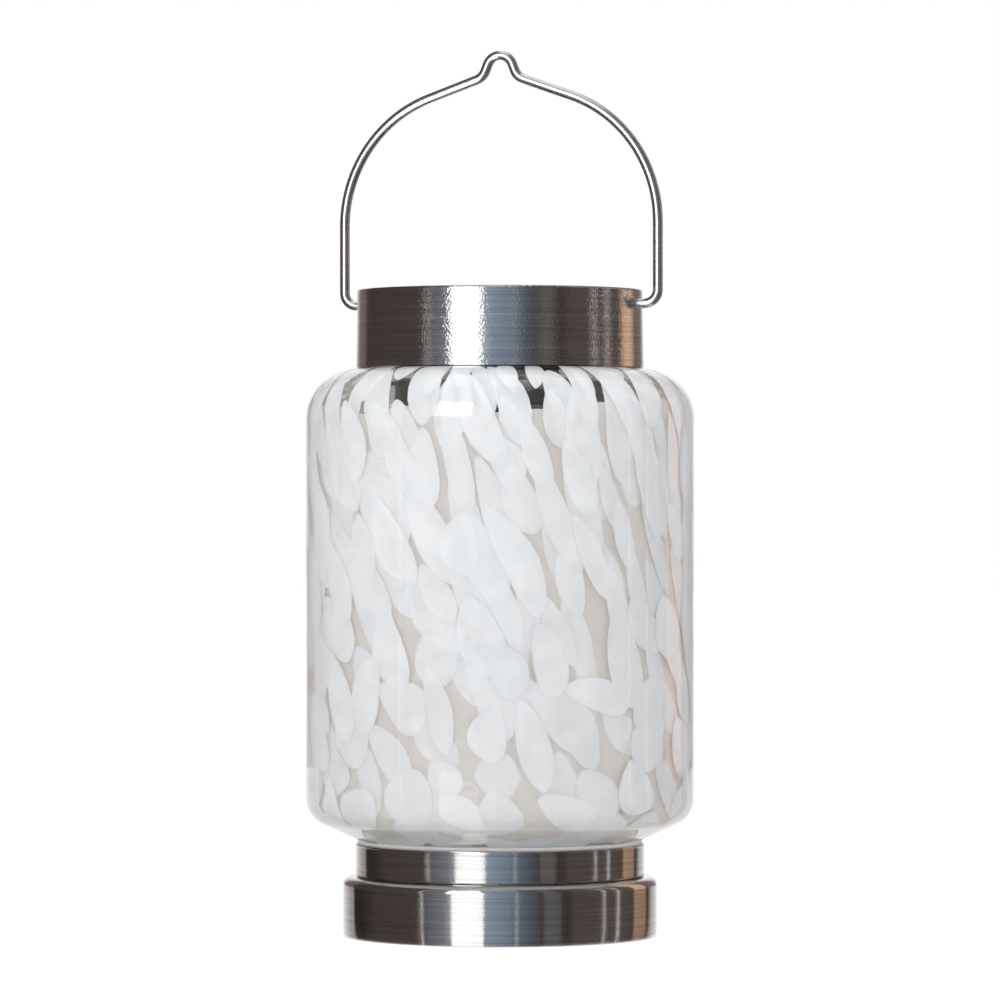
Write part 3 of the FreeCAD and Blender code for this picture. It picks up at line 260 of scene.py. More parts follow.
def ranged(tree, value, low, high, start=0.0, end=1.0):
    inputs = {"Value": value, "From Min": start, "From Max": end, "To Min": low, "To Max": high}
    return put(tree, "ShaderNodeMapRange", inputs).outputs["Result"]


def maths(tree, operation, first, second):
    return put(tree, "ShaderNodeMath", {0: first, 1: second}, operation=operation).outputs[0]


def tones(tree, value, first, second):
    """A colour between two, by a value from 0 to 1."""
    ramp = put(tree, "ShaderNodeValToRGB", {"Fac": value})
    ramp.color_ramp.elements[0].color = opaque(first)
    ramp.color_ramp.elements[1].color = opaque(second)
    return ramp.outputs["Color"]


def bumped(tree, height, distance, normal=None):
    inputs = {"Height": height, "Distance": distance, "Strength": 1.0}
    if normal is not None:
        inputs["Normal"] = normal
    return put(tree, "ShaderNodeBump", inputs).outputs["Normal"]


# Brush lines and speckles in a metre of steel, how often a line wavers in a metre, and the depth of the lines
# and of scratches.
BRUSH_LINES, SPECKLES, BRUSH_WAVER = 1700.0, 1500.0, 14.0
BRUSH_DEPTH, SCRATCH_DEPTH = 0.022 * MM, 0.003 * MM
# Depth of the waves and seeds in the glass, and the share of the lamps' light that passes the opal.
WAVE_DEPTH, SEED_DEPTH, OPAL_PASSES = 0.22 * MM, 0.01 * MM, 0.95
# Fingers in a metre of solar cell and their share of it, and where the battery's bright band starts.
CELL_FINGERS, FINGER_SHARE, SLEEVE_BAND = 620.0, 0.12, 14.5 * MM


def ring_lines(tree, fineness):
    """Coordinates whose lines run round the upright axis, on walls and on flat tops alike."""
    coordinates = put(tree, "ShaderNodeTexCoord").outputs["Object"]
    split = put(tree, "ShaderNodeSeparateXYZ", {"Vector": coordinates})
    flat = put(tree, "ShaderNodeCombineXYZ", {"X": split.outputs["X"], "Y": split.outputs["Y"]})
    radius = put(tree, "ShaderNodeVectorMath", {0: flat.outputs["Vector"]}, operation="LENGTH")
    across = maths(tree, "ADD", radius.outputs["Value"], split.outputs["Z"])
    lines = put(tree, "ShaderNodeCombineXYZ", {
        "X": split.outputs["X"], "Y": split.outputs["Y"], "Z": maths(tree, "MULTIPLY", across, fineness)})
    stretch = (BRUSH_WAVER, BRUSH_WAVER, 1.0)
    waver = put(tree, "ShaderNodeVectorMath", {0: lines.outputs["Vector"], 1: stretch}, operation="MULTIPLY")
    return waver.outputs["Vector"]


def steel_material(name, metal, speckle_depth):
    """Steel spun and brushed round its axis: fine ring lines, a speckle and slow smudges."""
    material, tree = new_material(name)
    lines = noise(tree, ring_lines(tree, BRUSH_LINES), 1.0, 3.0, 0.7)
    speckle = noise(tree, place(tree, (1.0, 1.0, 1.3)), SPECKLES, 1.0)
    smudge = noise(tree, place(tree), 38.0, 3.0, 0.55)
    normal = bumped(tree, speckle, speckle_depth, bumped(tree, lines, BRUSH_DEPTH))
    roughness = metal.steel_roughness
    tangent = put(tree, "ShaderNodeTangent", direction_type="RADIAL", axis="Z").outputs["Tangent"]
    return principled(material, {
        "Base Color": tones(tree, ranged(tree, lines, 0.0, 1.0, 0.3, 0.7), metal.steel_worn, metal.steel),
        "Roughness": ranged(tree, smudge, roughness - 0.02, roughness + 0.04, 0.3, 0.7),
        "Metallic": 1.0, "Anisotropic": 1.0, "Anisotropic Rotation": 0.25,
        "Tangent": tangent, "Normal": normal})


def metal_material(name, rgb, roughness):
    """Bright drawn or plated metal with faint scratches and a slight change of tone."""
    material, tree = new_material(name)
    scratches = noise(tree, place(tree, (1.0, 1.0, 6.0)), 420.0, 4.0, 0.6)
    smudge = noise(tree, place(tree), 90.0, 2.0)
    dull = [channel * 0.86 for channel in rgb]
    return principled(material, {
        "Base Color": tones(tree, ranged(tree, smudge, 0.0, 1.0, 0.35, 0.65), dull, rgb),
        "Roughness": ranged(tree, scratches, roughness * 0.7, roughness * 1.4, 0.3, 0.7),
        "Metallic": 1.0, "Normal": bumped(tree, scratches, SCRATCH_DEPTH)})


def glass_material(name, tint):
    """Clear blown glass with slow waves, which lets lamp light through to what is inside."""
    material, tree = new_material(name)
    waves = noise(tree, place(tree, (1.0, 1.0, 0.55)), 46.0, 1.5, 0.45)
    seeds = noise(tree, place(tree), 330.0, 1.0)
    normal = bumped(tree, seeds, SEED_DEPTH, bumped(tree, waves, WAVE_DEPTH))
    glass = put(tree, "ShaderNodeBsdfPrincipled", {
        "Base Color": opaque(tint), "Roughness": 0.015, "IOR": 1.5,
        "Transmission Weight": 1.0, "Normal": normal})
    return lamp_lit(material, glass, put(tree, "ShaderNodeLightPath").outputs["Is Shadow Ray"])


def opal_material(name):
    """Opal glass in the colours of its points, with a faint cloud, which lets part of the light through."""
    material, tree = new_material(name)
    tone = put(tree, "ShaderNodeAttribute", attribute_name="tone").outputs["Color"]
    cloud = ranged(tree, noise(tree, place(tree), 160.0, 3.0, 0.6), 0.95, 1.0, 0.35, 0.65)
    clouded = put(tree, "ShaderNodeVectorMath", {0: tone, "Scale": cloud}, operation="SCALE")
    opal = put(tree, "ShaderNodeBsdfPrincipled", {
        "Base Color": clouded.outputs["Vector"], "Roughness": 0.8, "IOR": 1.06, "Transmission Weight": 0.45})
    shadow = put(tree, "ShaderNodeLightPath").outputs["Is Shadow Ray"]
    return lamp_lit(material, opal, maths(tree, "MULTIPLY", shadow, OPAL_PASSES))


def moulded_material(name, rgb, roughness, texture=0.02 * MM, scale=1400.0):
    """Moulded plastic, rubber or foam: a fine surface texture and slight handling marks."""
    material, tree = new_material(name)
    skin = noise(tree, place(tree), scale, 2.0, 0.6)
    marks = noise(tree, place(tree), 120.0, 3.0, 0.6)
    pale = [min(1.0, channel * 1.25 + 0.003) for channel in rgb]
    return principled(material, {
        "Base Color": tones(tree, ranged(tree, marks, 0.0, 1.0, 0.35, 0.7), rgb, pale),
        "Roughness": ranged(tree, marks, roughness - 0.07, roughness + 0.08, 0.3, 0.7),
        "Normal": bumped(tree, skin, texture)})


def clear_material(name, rgb, roughness):
    """Cast clear resin or silicone with a slight haze."""
    material, tree = new_material(name)
    haze = noise(tree, place(tree), 700.0, 2.0)
    return principled(material, {
        "Base Color": opaque(rgb), "Roughness": ranged(tree, haze, roughness, roughness + 0.1, 0.3, 0.7),
        "IOR": 1.45, "Transmission Weight": 0.45})


def cell_material(name, rgb, line):
    """Solar cell: dark silicon under clear resin, with fine silver fingers."""
    material, tree = new_material(name)
    split = put(tree, "ShaderNodeSeparateXYZ", {"Vector": place(tree)})
    stripe = maths(tree, "FRACT", maths(tree, "MULTIPLY", split.outputs["X"], CELL_FINGERS), 0.0)
    finger = maths(tree, "LESS_THAN", stripe, FINGER_SHARE)
    cloud = noise(tree, place(tree), 260.0, 2.0)
    silicon = tones(tree, cloud, [channel * 0.6 for channel in rgb], [channel * 1.5 for channel in rgb])
    mixed = put(tree, "ShaderNodeMix", {0: finger, 6: silicon, 7: opaque(line)}, data_type="RGBA")
    return principled(material, {
        "Base Color": mixed.outputs[2], "Roughness": ranged(tree, cloud, 0.12, 0.2), "Coat Weight": 1.0,
        "Coat Roughness": 0.04})


def sleeve_material(name, rgb, bright):
    """Battery sleeve with a bright band at its positive end."""
    material, tree = new_material(name)
    split = put(tree, "ShaderNodeSeparateXYZ", {"Vector": place(tree)})
    band = maths(tree, "GREATER_THAN", split.outputs["X"], SLEEVE_BAND)
    marks = noise(tree, place(tree), 150.0, 3.0)
    film = tones(tree, marks, [channel * 0.8 for channel in rgb], rgb)
    mixed = put(tree, "ShaderNodeMix", {0: band, 6: film, 7: opaque(bright)}, data_type="RGBA")
    return principled(material, {
        "Base Color": mixed.outputs[2], "Roughness": ranged(tree, marks, 0.25, 0.4), "Metallic": band})


def dress(material, *nodes):
    """Gives CAD nodes, whose shapes are right, their material."""
    for name in nodes:
        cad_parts[name].material_slots[0].material = material


def place_mesh(name, mesh, material, body, sharp):
    """Makes a piece of a mesh, smooth up to an angle in degrees, attached to a body if one is given."""
    mesh.materials.append(material)
    mesh.shade_smooth()
    mesh.set_sharp_from_angle(angle=math.radians(sharp))
    piece = bpy.data.objects.new(name, mesh)
    bpy.context.scene.collection.objects.link(piece)
    if body is None:
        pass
    else:
        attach(piece, body)
    return piece


def new_piece(name, vertices, faces, material, body):
    mesh = bpy.data.meshes.new(name)
    mesh.from_pydata(vertices, [], faces)
    return place_mesh(name, mesh, material, body, 40)


def arc(across, up, radius, start, end, steps):
    """Points on an arc in an outline, from one angle in degrees to another."""
    turns = [math.radians(start + (end - start) * step / steps) for step in range(steps + 1)]
    return [(across + radius * math.cos(turn), up + radius * math.sin(turn)) for turn in turns]


def lathe(outline, segments):
    """Vertices and faces of a closed outline of (radius, height) points, turned about the upright axis."""
    vertices = []
    for step in range(segments):
        turn = FULL_TURN * step / segments
        vertices += [(radius * math.cos(turn), radius * math.sin(turn), height) for radius, height in outline]
    return vertices, turned_faces(len(outline), segments)


def turned_faces(count, segments):
    """Faces between the outlines of a turned piece, each outline a closed loop of so many points."""
    faces = []
    for step in range(segments):
        here, following = step * count, (step + 1) % segments * count
        for point in range(count):
            after = (point + 1) % count
            faces.append((here + point, following + point, following + after, here + after))
    return faces


class GlassLine:
    """The outer line of the glass by its length from the collar: radius, height and tilt of the surface."""

    def __init__(self, glass):
        tilt = glass.cone_angle - math.pi / 2
        centre = glass.radius - glass.knuckle
        start = centre + glass.knuckle * math.cos(tilt)
        cone_top = glass.foot_height + (start - glass.foot_radius) * math.tan(glass.cone_angle)
        knuckle_level = cone_top - glass.knuckle * math.sin(tilt)
        shoulder_level = glass.shoulder_height - glass.shoulder
        top = glass.radius - glass.shoulder
        points = [(glass.foot_radius, glass.foot_height, tilt)]
        bends = (
            (centre, knuckle_level, glass.knuckle, np.linspace(tilt, 0.0, 16)),
            (top, shoulder_level, glass.shoulder, np.linspace(0.0, math.pi / 2, 24)))
        for across, up, bend, turns in bends:
            points += [(across + bend * math.cos(turn), up + bend * math.sin(turn), turn) for turn in turns]
        points.append((glass.neck_radius, glass.shoulder_height, math.pi / 2))
        self.radii, self.heights, self.tilts = np.array(points).T
        steps = np.hypot(np.diff(self.radii), np.diff(self.heights))
        self.lengths = np.concatenate(([0.0], np.cumsum(steps)))

    def at(self, along):
        return [np.interp(along, self.lengths, values) for values in (self.radii, self.heights, self.tilts)]

    def length_at_radius(self, radius, upper):
        """Length where the line first passes a radius, on the cone or on the shoulder."""
        half = len(self.radii) // 2
        part = slice(half, None) if upper else slice(0, half)
        radii, lengths = self.radii[part], self.lengths[part]
        order = np.argsort(radii)
        return float(np.interp(radius, radii[order], lengths[order]))


# The inner rings and the sides of one spot, and the layers of spots in the glass.
SPOT_RINGS, SPOT_SIDES, LAYERS = (0.5, 0.84), 22, 5
# How far the first and the last row of spots and the edge of the film stand out from the foot or the neck.
FIRST_ROW, LAST_ROW, FILM_EDGE = 6 * MM, 7 * MM, 3 * MM
# Waves in the film's upper edge: height, number in a turn and phase.
FILM_WAVES = ((1.3 * MM, 7, 0), (0.9 * MM, 17, 1))
# Levels up the glass, from 0 at the first row to 1 at the last, where the spots' sizes and crowding are set.
# The lean's shares and its scatter in radians come with levels of their own.
SIZE_LEVELS, CROWDING_LEVELS = (0.1, 0.5, 1.0), (0.7, 1.0)
LEANS = (0.0, 0.25, 0.7, 1.0), (0.6, 1.0, 0.8, 0.1)
LEAN_SCATTER = (0.0, 0.4, 1.0), (0.7, 0.2, 0.1)
# Least and greatest of a spot's shift aside and up, as shares of the spacing, of its width and length, as
# shares of those at its level, and of its brightness.
SPOT_ASIDE, SPOT_UP = (-0.3, 0.3), (-0.35, 0.35)
SPOT_WIDTHS, SPOT_LENGTHS, SPOT_FADES = (0.62, 1.25), (0.6, 1.2), (0.965, 1.0)


def spot_faces():
    """Faces of one lens-shaped spot: an outer and an inner side that share their rim."""
    rings = len(SPOT_RINGS)
    rim = 1 + rings * SPOT_SIDES
    inner = rim + SPOT_SIDES
    faces = []
    for side in range(SPOT_SIDES):
        after = (side + 1) % SPOT_SIDES
        for centre, outward in ((0, True), (inner, False)):
            starts = [centre + 1 + ring * SPOT_SIDES for ring in range(rings)] + [rim]
            loops = [(centre, starts[0] + side, starts[0] + after)]
            for low, high in zip(starts, starts[1:]):
                loops.append((low + side, high + side, high + after, low + after))
            faces += loops if outward else [tuple(reversed(loop)) for loop in loops]
    return faces


def spot_vertices(line, scatter, turn, along, size, lean, depth, half):
    """One spot: a leaf outline, fuller below, wrapped on the glass at a depth below its outside."""
    wide, tall = size
    phase = scatter.uniform(0, FULL_TURN)
    point = scatter.uniform(0.05, 0.45)
    curl = scatter.uniform(-0.22, 0.22)
    ring = np.linspace(0.0, FULL_TURN, SPOT_SIDES, endpoint=False)
    wobble = 1 + 0.03 * np.sin(2 * ring + phase) + 0.025 * np.sin(3 * ring - phase)
    up = tall / 2 * np.cos(ring) * wobble
    across = wide / 2 * np.sin(ring) * np.abs(np.sin(ring)) ** point * (1 - 0.2 * np.cos(ring)) * wobble
    across += curl * wide * np.cos(ring) ** 2
    rise = up * math.cos(lean) + across * math.sin(lean)
    aside = across * math.cos(lean) - up * math.sin(lean)
    levels = [0.0] + [share for share in SPOT_RINGS for _ in range(SPOT_SIDES)]
    rims = [1.0] * SPOT_SIDES
    shares = np.array(levels + rims + levels)
    sides = np.concatenate(([1.0] * (len(levels) + SPOT_SIDES), [-1.0] * len(levels)))
    rings = len(SPOT_RINGS)
    x = np.concatenate(([0.0], np.tile(aside, rings), aside, [0.0], np.tile(aside, rings))) * shares
    y = np.concatenate(([0.0], np.tile(rise, rings), rise, [0.0], np.tile(rise, rings))) * shares
    bulge = half * np.sqrt(1 - shares ** 2) * sides
    radius, height, tilt = line.at(along + y)
    inwards = depth - bulge
    radius = radius - inwards * np.cos(tilt)
    height = height - inwards * np.sin(tilt)
    turns = turn + x / radius
    return np.column_stack((radius * np.cos(turns), radius * np.sin(turns), height))


def spot_tones_with_shade(spots, fade):
    """Colours of one spot's points: white outside; greyer at the thin rim, partly for its translucency and
    partly as painted shadow lines where spots overlap; and warmer on the inner side as painted shade of the
    dim inside.
    """
    side = 1 + len(SPOT_RINGS) * SPOT_SIDES
    outer = np.array(spots.outer_colour) * fade
    # The rim and the inner side carry painted shade.
    parts = ((outer, side), (spots.rim_shade_colour, SPOT_SIDES), (spots.inner_shade_colour, side))
    return np.concatenate([np.tile(rgb, (count, 1)) for rgb, count in parts])


def free_layer(placed, turn, along, radius):
    """The layer whose nearest spot is farthest from a place on the glass."""
    nearest = [1.0] * LAYERS
    for other_turn, other_along, layer in placed:
        around = (turn - other_turn + math.pi) % FULL_TURN - math.pi
        nearest[layer] = min(nearest[layer], math.hypot(around * radius, (along - other_along) / 2))
    return nearest.index(max(nearest))


def scatter_spots(glass, spots):
    """Rows of spots up the glass, in layers so that few of them touch; returns their points and colours."""
    line = GlassLine(glass)
    scatter = random.Random(spots.seed)
    start = line.length_at_radius(glass.foot_radius + FIRST_ROW, upper=False)
    end = line.length_at_radius(glass.neck_radius + LAST_ROW, upper=True)
    rows = int((end - start) / spots.row_gap)
    widths = (spots.bottom_width, spots.middle_width, spots.top_width)
    lengths = (spots.bottom_length, spots.middle_length, spots.top_length)
    points, colours, placed = [], [], []
    for row in range(rows + 1):
        middle = start + (end - start) * row / rows
        radius = float(line.at(middle)[0])
        level = row / rows
        width = float(np.interp(level, SIZE_LEVELS, widths))
        tall = float(np.interp(level, SIZE_LEVELS, lengths))
        lean = spots.lean * float(np.interp(level, *LEANS))
        spread = float(np.interp(level, *LEAN_SCATTER))
        crowding = float(np.interp(level, CROWDING_LEVELS, (spots.crowding, spots.top_crowding)))
        count = int(FULL_TURN * radius / (width * crowding))
        for item in range(count):
            turn = FULL_TURN * (item + row % 2 / 2 + scatter.uniform(*SPOT_ASIDE)) / count
            along = middle + scatter.uniform(*SPOT_UP) * spots.row_gap
            size = (width * scatter.uniform(*SPOT_WIDTHS), tall * scatter.uniform(*SPOT_LENGTHS))
            layer = free_layer(placed, turn, along, radius)
            placed.append((turn, along, layer))
            depth = spots.first_depth + (spots.last_depth - spots.first_depth) * layer / (LAYERS - 1)
            tilt = lean + scatter.gauss(0, spread)
            points.append(spot_vertices(line, scatter, turn, along, size, tilt, depth, spots.half_thickness))
            colours.append(spot_tones_with_shade(spots, scatter.uniform(*SPOT_FADES)))
    return points, colours


def painted_shade_film(glass, spots):
    """Points and faces of the film behind the spots, a sheet of painted shade that stands in for the dim
    inside seen between them: a thin wall inside the glass with a wavy upper edge.
    """
    line = GlassLine(glass)
    start = line.length_at_radius(glass.foot_radius + FILM_EDGE, upper=False)
    top = float(np.interp(spots.film_top, line.heights, line.lengths))
    inner_depth = spots.film_depth + spots.film_thickness
    segments, rows = 200, 36
    vertices = []
    for step in range(segments):
        turn = FULL_TURN * step / segments
        wave = sum(height * math.sin(count * turn + phase) for height, count, phase in FILM_WAVES)
        along = np.linspace(start, top + wave, rows)
        for depth, path in ((spots.film_depth, along), (inner_depth, along[::-1])):
            radius, height, tilt = line.at(path)
            radius = radius - depth * np.cos(tilt)
            height = height - depth * np.sin(tilt)
            vertices += np.column_stack((radius * math.cos(turn), radius * math.sin(turn), height)).tolist()
    return vertices, turned_faces(2 * rows, segments)


class LANTERN_OT_glass(Operator):
    """Clear blown glass and the thread on its neck"""

    bl_idname = "lantern.glass"
    bl_label = "Glass"

    def execute(self, context):
        glass = context.scene.lantern.glass
        material = glass_material("clear_blown_glass", glass.tint)
        dress(material, "glass_jar")
        steps, sides, turns, fade, sunk = 120, 10, 1.3, 12, 0.05 * MM
        ridge = glass.thread_ridge
        vertices = []
        for step in range(steps + 1):
            turn = turns * FULL_TURN * step / steps
            swell = max(0.02, min(1.0, fade * step / steps, fade * (1 - step / steps)))
            level = glass.thread_bottom + glass.thread_pitch * turn / FULL_TURN
            for side in range(sides):
                bend = FULL_TURN * side / sides
                radius = glass.neck_radius - sunk + ridge * swell * math.cos(bend)
                height = level + 2 * ridge * swell * math.sin(bend)
                vertices.append((radius * math.cos(turn), radius * math.sin(turn), height))
        faces = [tuple(reversed(range(sides))), tuple(steps * sides + side for side in range(sides))]
        for step in range(steps):
            for side in range(sides):
                after = (side + 1) % sides
                low, high = step * sides, (step + 1) * sides
                faces.append((low + side, high + side, high + after, low + after))
        new_piece("neck_thread", vertices, faces, material, BODY_JAR)
        return {"FINISHED"}


class LANTERN_OT_spots(Operator):
    """Opal spots fused into the glass wall, and a film of painted shade behind them"""

    bl_idname = "lantern.spots"
    bl_label = "Opal spots"

    def execute(self, context):
        settings = context.scene.lantern
        points, colours = scatter_spots(settings.glass, settings.spots)
        size = len(points[0])
        pattern = spot_faces()
        faces = [
            tuple(corner + item * size for corner in face) for item in range(len(points)) for face in pattern]
        vertices = np.concatenate(points).tolist()
        piece = new_piece("opal_spots", vertices, faces, opal_material("opal"), BODY_JAR)
        add_tones(piece, np.concatenate(colours).tolist())
        # The film is a sheet of painted shade that stands in for the dim inside seen between the spots.
        vertices, faces = painted_shade_film(settings.glass, settings.spots)
        film = new_piece("painted_shade_film", vertices, faces, opal_material("painted_shade_opal"), BODY_JAR)
        add_tones(film, [settings.spots.shade_film_colour] * len(vertices))
        return {"FINISHED"}


class LANTERN_OT_steel(Operator):
    """Steel cap, collar and foot, and the rolled edge of the collar"""

    bl_idname = "lantern.steel"
    bl_label = "Steel"

    def execute(self, context):
        metal = context.scene.lantern.metal
        dress(steel_material("brushed_cap", metal, metal.cap_speckle), "cap_shell")
        base = steel_material("polished_base", metal, metal.base_speckle)
        dress(base, "base_collar", "foot_ring", "base_plate")
        _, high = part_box("base_collar")
        roll, proud = 0.38 * MM, 0.12 * MM
        outline = arc(high.x - roll, high.z - roll, roll + proud, 0, 345, 23)
        edge = new_piece("collar_roll", *lathe(outline, 256), base, BODY_JAR)
        dress(metal_material("rivet_zinc", metal.zinc, roughness=0.3), "base_rivets")
        return {"FINISHED"}


class LANTERN_OT_bail(Operator):
    """Bright bent wire"""

    bl_idname = "lantern.bail"
    bl_label = "Bail"

    def execute(self, context):
        dress(metal_material("bright_wire", context.scene.lantern.metal.wire, roughness=0.19), "bail_handle")
        return {"FINISHED"}


class LANTERN_OT_seals(Operator):
    """Silicone bead, gaskets and foam pad"""

    bl_idname = "lantern.seals"
    bl_label = "Seals"

    def execute(self, context):
        settings = context.scene.lantern
        moulded, glass = settings.moulded, settings.glass
        silicone = clear_material("clear_silicone", moulded.silicone, roughness=0.3)
        low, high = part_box("bond_ring")
        inner = glass.foot_radius + 0.05 * MM
        lip = glass.foot_height
        slope = math.tan(glass.cone_angle)
        # The bead fills the gap round the glass foot, swells over the collar's edge and runs out on the cone.
        outline = [
            (inner, low.z), (high.x, low.z), (high.x, lip - 0.2 * MM), (high.x + 0.35 * MM, lip + 0.1 * MM),
            (high.x + 0.3 * MM, lip + 0.3 * MM + 1.8 * MM * slope - 0.15 * MM),
            (inner + 0.9 * MM, lip + 0.9 * MM * slope - 0.1 * MM), (inner, lip - 0.9 * MM)]
        bead = new_piece("silicone_bead", *lathe(outline, 192), silicone, BODY_JAR)
        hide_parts("bond_ring")
        dress(silicone, "seat_gasket")
        dress(moulded_material("black_rubber", moulded.rubber, roughness=0.6), "lid_gasket", "panel_gasket")
        foam = moulded_material("grey_foam", moulded.foam, roughness=0.85, texture=0.25 * MM, scale=900.0)
        dress(foam, "foot_pad")
        return {"FINISHED"}


class LANTERN_OT_module(Operator):
    """Moulded light module, liner, battery door and switch knob"""

    bl_idname = "lantern.module"
    bl_label = "Light module"

    def execute(self, context):
        plastic = moulded_material("black_plastic", context.scene.lantern.moulded.plastic, roughness=0.42)
        dress(plastic, "module_housing", "module_cover", "neck_liner", "battery_door", "switch_slider")
        return {"FINISHED"}


class LANTERN_OT_panel(Operator):
    """Solar panel with its cells and ribbons"""

    bl_idname = "lantern.panel"
    bl_label = "Solar panel"

    def execute(self, context):
        moulded = context.scene.lantern.moulded
        dress(moulded_material("solar_laminate", moulded.laminate, roughness=0.25), "solar_panel")
        cell = cell_material("solar_cell", moulded.cell, moulded.ribbon)
        ribbon = metal_material("tinned_ribbon", moulded.ribbon, roughness=0.3)
        low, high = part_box("solar_panel")
        edge, gap, lift, strip, foil = 1.6 * MM, 0.5 * MM, 0.06 * MM, 1.1 * MM, 0.04 * MM
        columns, rows = 2, 4
        run = high.y - low.y - 2 * edge
        wide = (high.x - low.x - 2 * edge - (columns - 1) * gap) / columns
        tall = (run - (rows - 1) * gap) / rows
        cells = [
            (low.x + edge + column * (wide + gap), low.y + edge + row * (tall + gap), wide, tall)
            for column in range(columns) for row in range(rows)]
        plates("solar_cells", cells, high.z, lift, cell)
        ribbons = [
            (low.x + edge + column * (wide + gap) + (wide - strip) / 2, low.y + edge, strip, run)
            for column in range(columns)]
        plates("solar_ribbons", ribbons, high.z + lift, foil, ribbon)
        return {"FINISHED"}


def plates(name, boxes, level, thickness, material):
    """Thin plates on the lid, each given as (x, y, width, depth), with their upper edges eased."""
    vertices, faces = [], []
    ease = thickness / 2
    for x, y, wide, deep in boxes:
        first = len(vertices)
        for inset, height in ((0.0, 0.0), (0.0, ease), (ease, thickness)):
            left, right, front, back = x + inset, x + wide - inset, y + inset, y + deep - inset
            for corner in ((left, front), (right, front), (right, back), (left, back)):
                vertices.append((*corner, level + height))
        faces.append((first + 3, first + 2, first + 1, first))
        for ring in (0, 4):
            for corner in range(4):
                after = (corner + 1) % 4
                here, above = first + ring, first + ring + 4
                faces.append((here + corner, here + after, above + after, above + corner))
        faces.append((first + 8, first + 9, first + 10, first + 11))
    return new_piece(name, vertices, faces, material, BODY_LID)


# Screws in a ring, and the sizes of one: its head, its shank, and from its axis to the edge of their box.
SCREWS = 3
SCREW_HEAD_RADIUS, SCREW_HEAD, SCREW_SHANK_RADIUS, SCREW_EDGE = 2.05 * MM, 1.1 * MM, 1.2 * MM, 2.1 * MM


def add_screw(form, x, y, level, tip):
    """A screw whose crossed head faces down, at one place."""
    sides = 32
    head_radius, head, shank_radius = SCREW_HEAD_RADIUS, SCREW_HEAD, SCREW_SHANK_RADIUS
    half, reach, depth = head_radius * 0.15, head_radius * 0.6, head * 0.6

    def loop(points, height):
        return [form.verts.new((x + across, y + along, height)) for across, along in points]

    def circle(radius):
        turns = [FULL_TURN * side / sides for side in range(sides)]
        return [(radius * math.cos(turn), radius * math.sin(turn)) for turn in turns]

    def edges(ring):
        return [form.edges.new((here, after)) for here, after in zip(ring, ring[1:] + ring[:1])]

    def wall(first, second):
        for index in range(len(first)):
            after = (index + 1) % len(first)
            form.faces.new((first[index], first[after], second[after], second[index]))

    arm = [(half, reach), (half, half), (reach, half)]
    cross = []
    for quarter in range(4):
        cos, sin = math.cos(-math.pi / 2 * quarter), math.sin(-math.pi / 2 * quarter)
        cross += [(across * cos - along * sin, across * sin + along * cos) for across, along in arm]
    rim = loop(circle(head_radius * 0.9), level)
    mouth = loop(cross, level)
    bmesh.ops.triangle_fill(form, use_beauty=True, edges=edges(rim) + edges(mouth))
    floor = loop([(across * 0.7, along * 0.7) for across, along in cross], level + depth)
    wall(mouth, floor)
    form.faces.new(floor)
    stages = (
        (head_radius, level + head * 0.2), (head_radius, level + head), (shank_radius, level + head),
        (shank_radius, tip - shank_radius), (shank_radius * 0.2, tip))
    last = rim
    for radius, height in stages:
        ring = loop(circle(radius), height)
        wall(last, ring)
        last = ring
    form.faces.new(last)


class LANTERN_OT_screws(Operator):
    """Cross-head screws under the module and in the liner"""

    bl_idname = "lantern.screws"
    bl_label = "Screws"

    def execute(self, context):
        material = metal_material("screw_zinc", context.scene.lantern.metal.zinc, roughness=0.28)
        for node in ("cover_screws", "liner_screws"):
            low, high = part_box(node)
            ring = high.y - SCREW_EDGE
            form = bmesh.new()
            for item in range(SCREWS):
                turn = math.pi / 2 + FULL_TURN * item / SCREWS
                add_screw(form, ring * math.cos(turn), ring * math.sin(turn), low.z, high.z)
            bmesh.ops.recalc_face_normals(form, faces=form.faces)
            name = f"{node}_crossed"
            mesh = bpy.data.meshes.new(name)
            form.to_mesh(mesh)
            form.free()
            piece = place_mesh(name, mesh, material, BODY_LID, 30)
            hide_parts(node)
        return {"FINISHED"}


class LANTERN_OT_electronics(Operator):
    """Circuit board, switch, diode, battery, contacts and wires"""

    bl_idname = "lantern.electronics"
    bl_label = "Electronics"

    def execute(self, context):
        settings = context.scene.lantern
        moulded, metal = settings.moulded, settings.metal
        board = moulded_material("green_board", moulded.board, roughness=0.35, texture=0.01 * MM)
        dress(board, "circuit_board")
        nickel = metal_material("nickel", metal.nickel, roughness=0.25)
        dress(nickel, "contact_negative", "contact_positive", "switch_body")
        dress(sleeve_material("battery_sleeve", moulded.sleeve, metal.nickel), "battery")
        wire = moulded_material("wire_sleeve", moulded.lead, roughness=0.4, texture=0.005 * MM)
        dress(wire, "solar_leads", "battery_leads")
        dress(clear_material("clear_resin", moulded.resin, roughness=0.05), "light_diode")
        low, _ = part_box("light_diode")
        level = low.z + 2.6 * MM
        # The cup opens downwards round the chip, which hangs from its floor.
        mouth, back = level - 0.9 * MM, level + 0.4 * MM
        cup = [
            (0.35 * MM, level), (0.75 * MM, level), (1.35 * MM, mouth), (1.5 * MM, mouth),
            (0.9 * MM, back), (0.35 * MM, back)]
        new_piece("diode_cup", *lathe(cup, 32), nickel, BODY_LID)
        phosphor = moulded_material("phosphor", moulded.phosphor, roughness=0.5)
        under = level - 0.35 * MM
        die = [(0.05 * MM, under), (0.5 * MM, under), (0.62 * MM, level), (0.05 * MM, level)]
        new_piece("diode_chip", *lathe(die, 24), phosphor, BODY_LID)
        return {"FINISHED"}


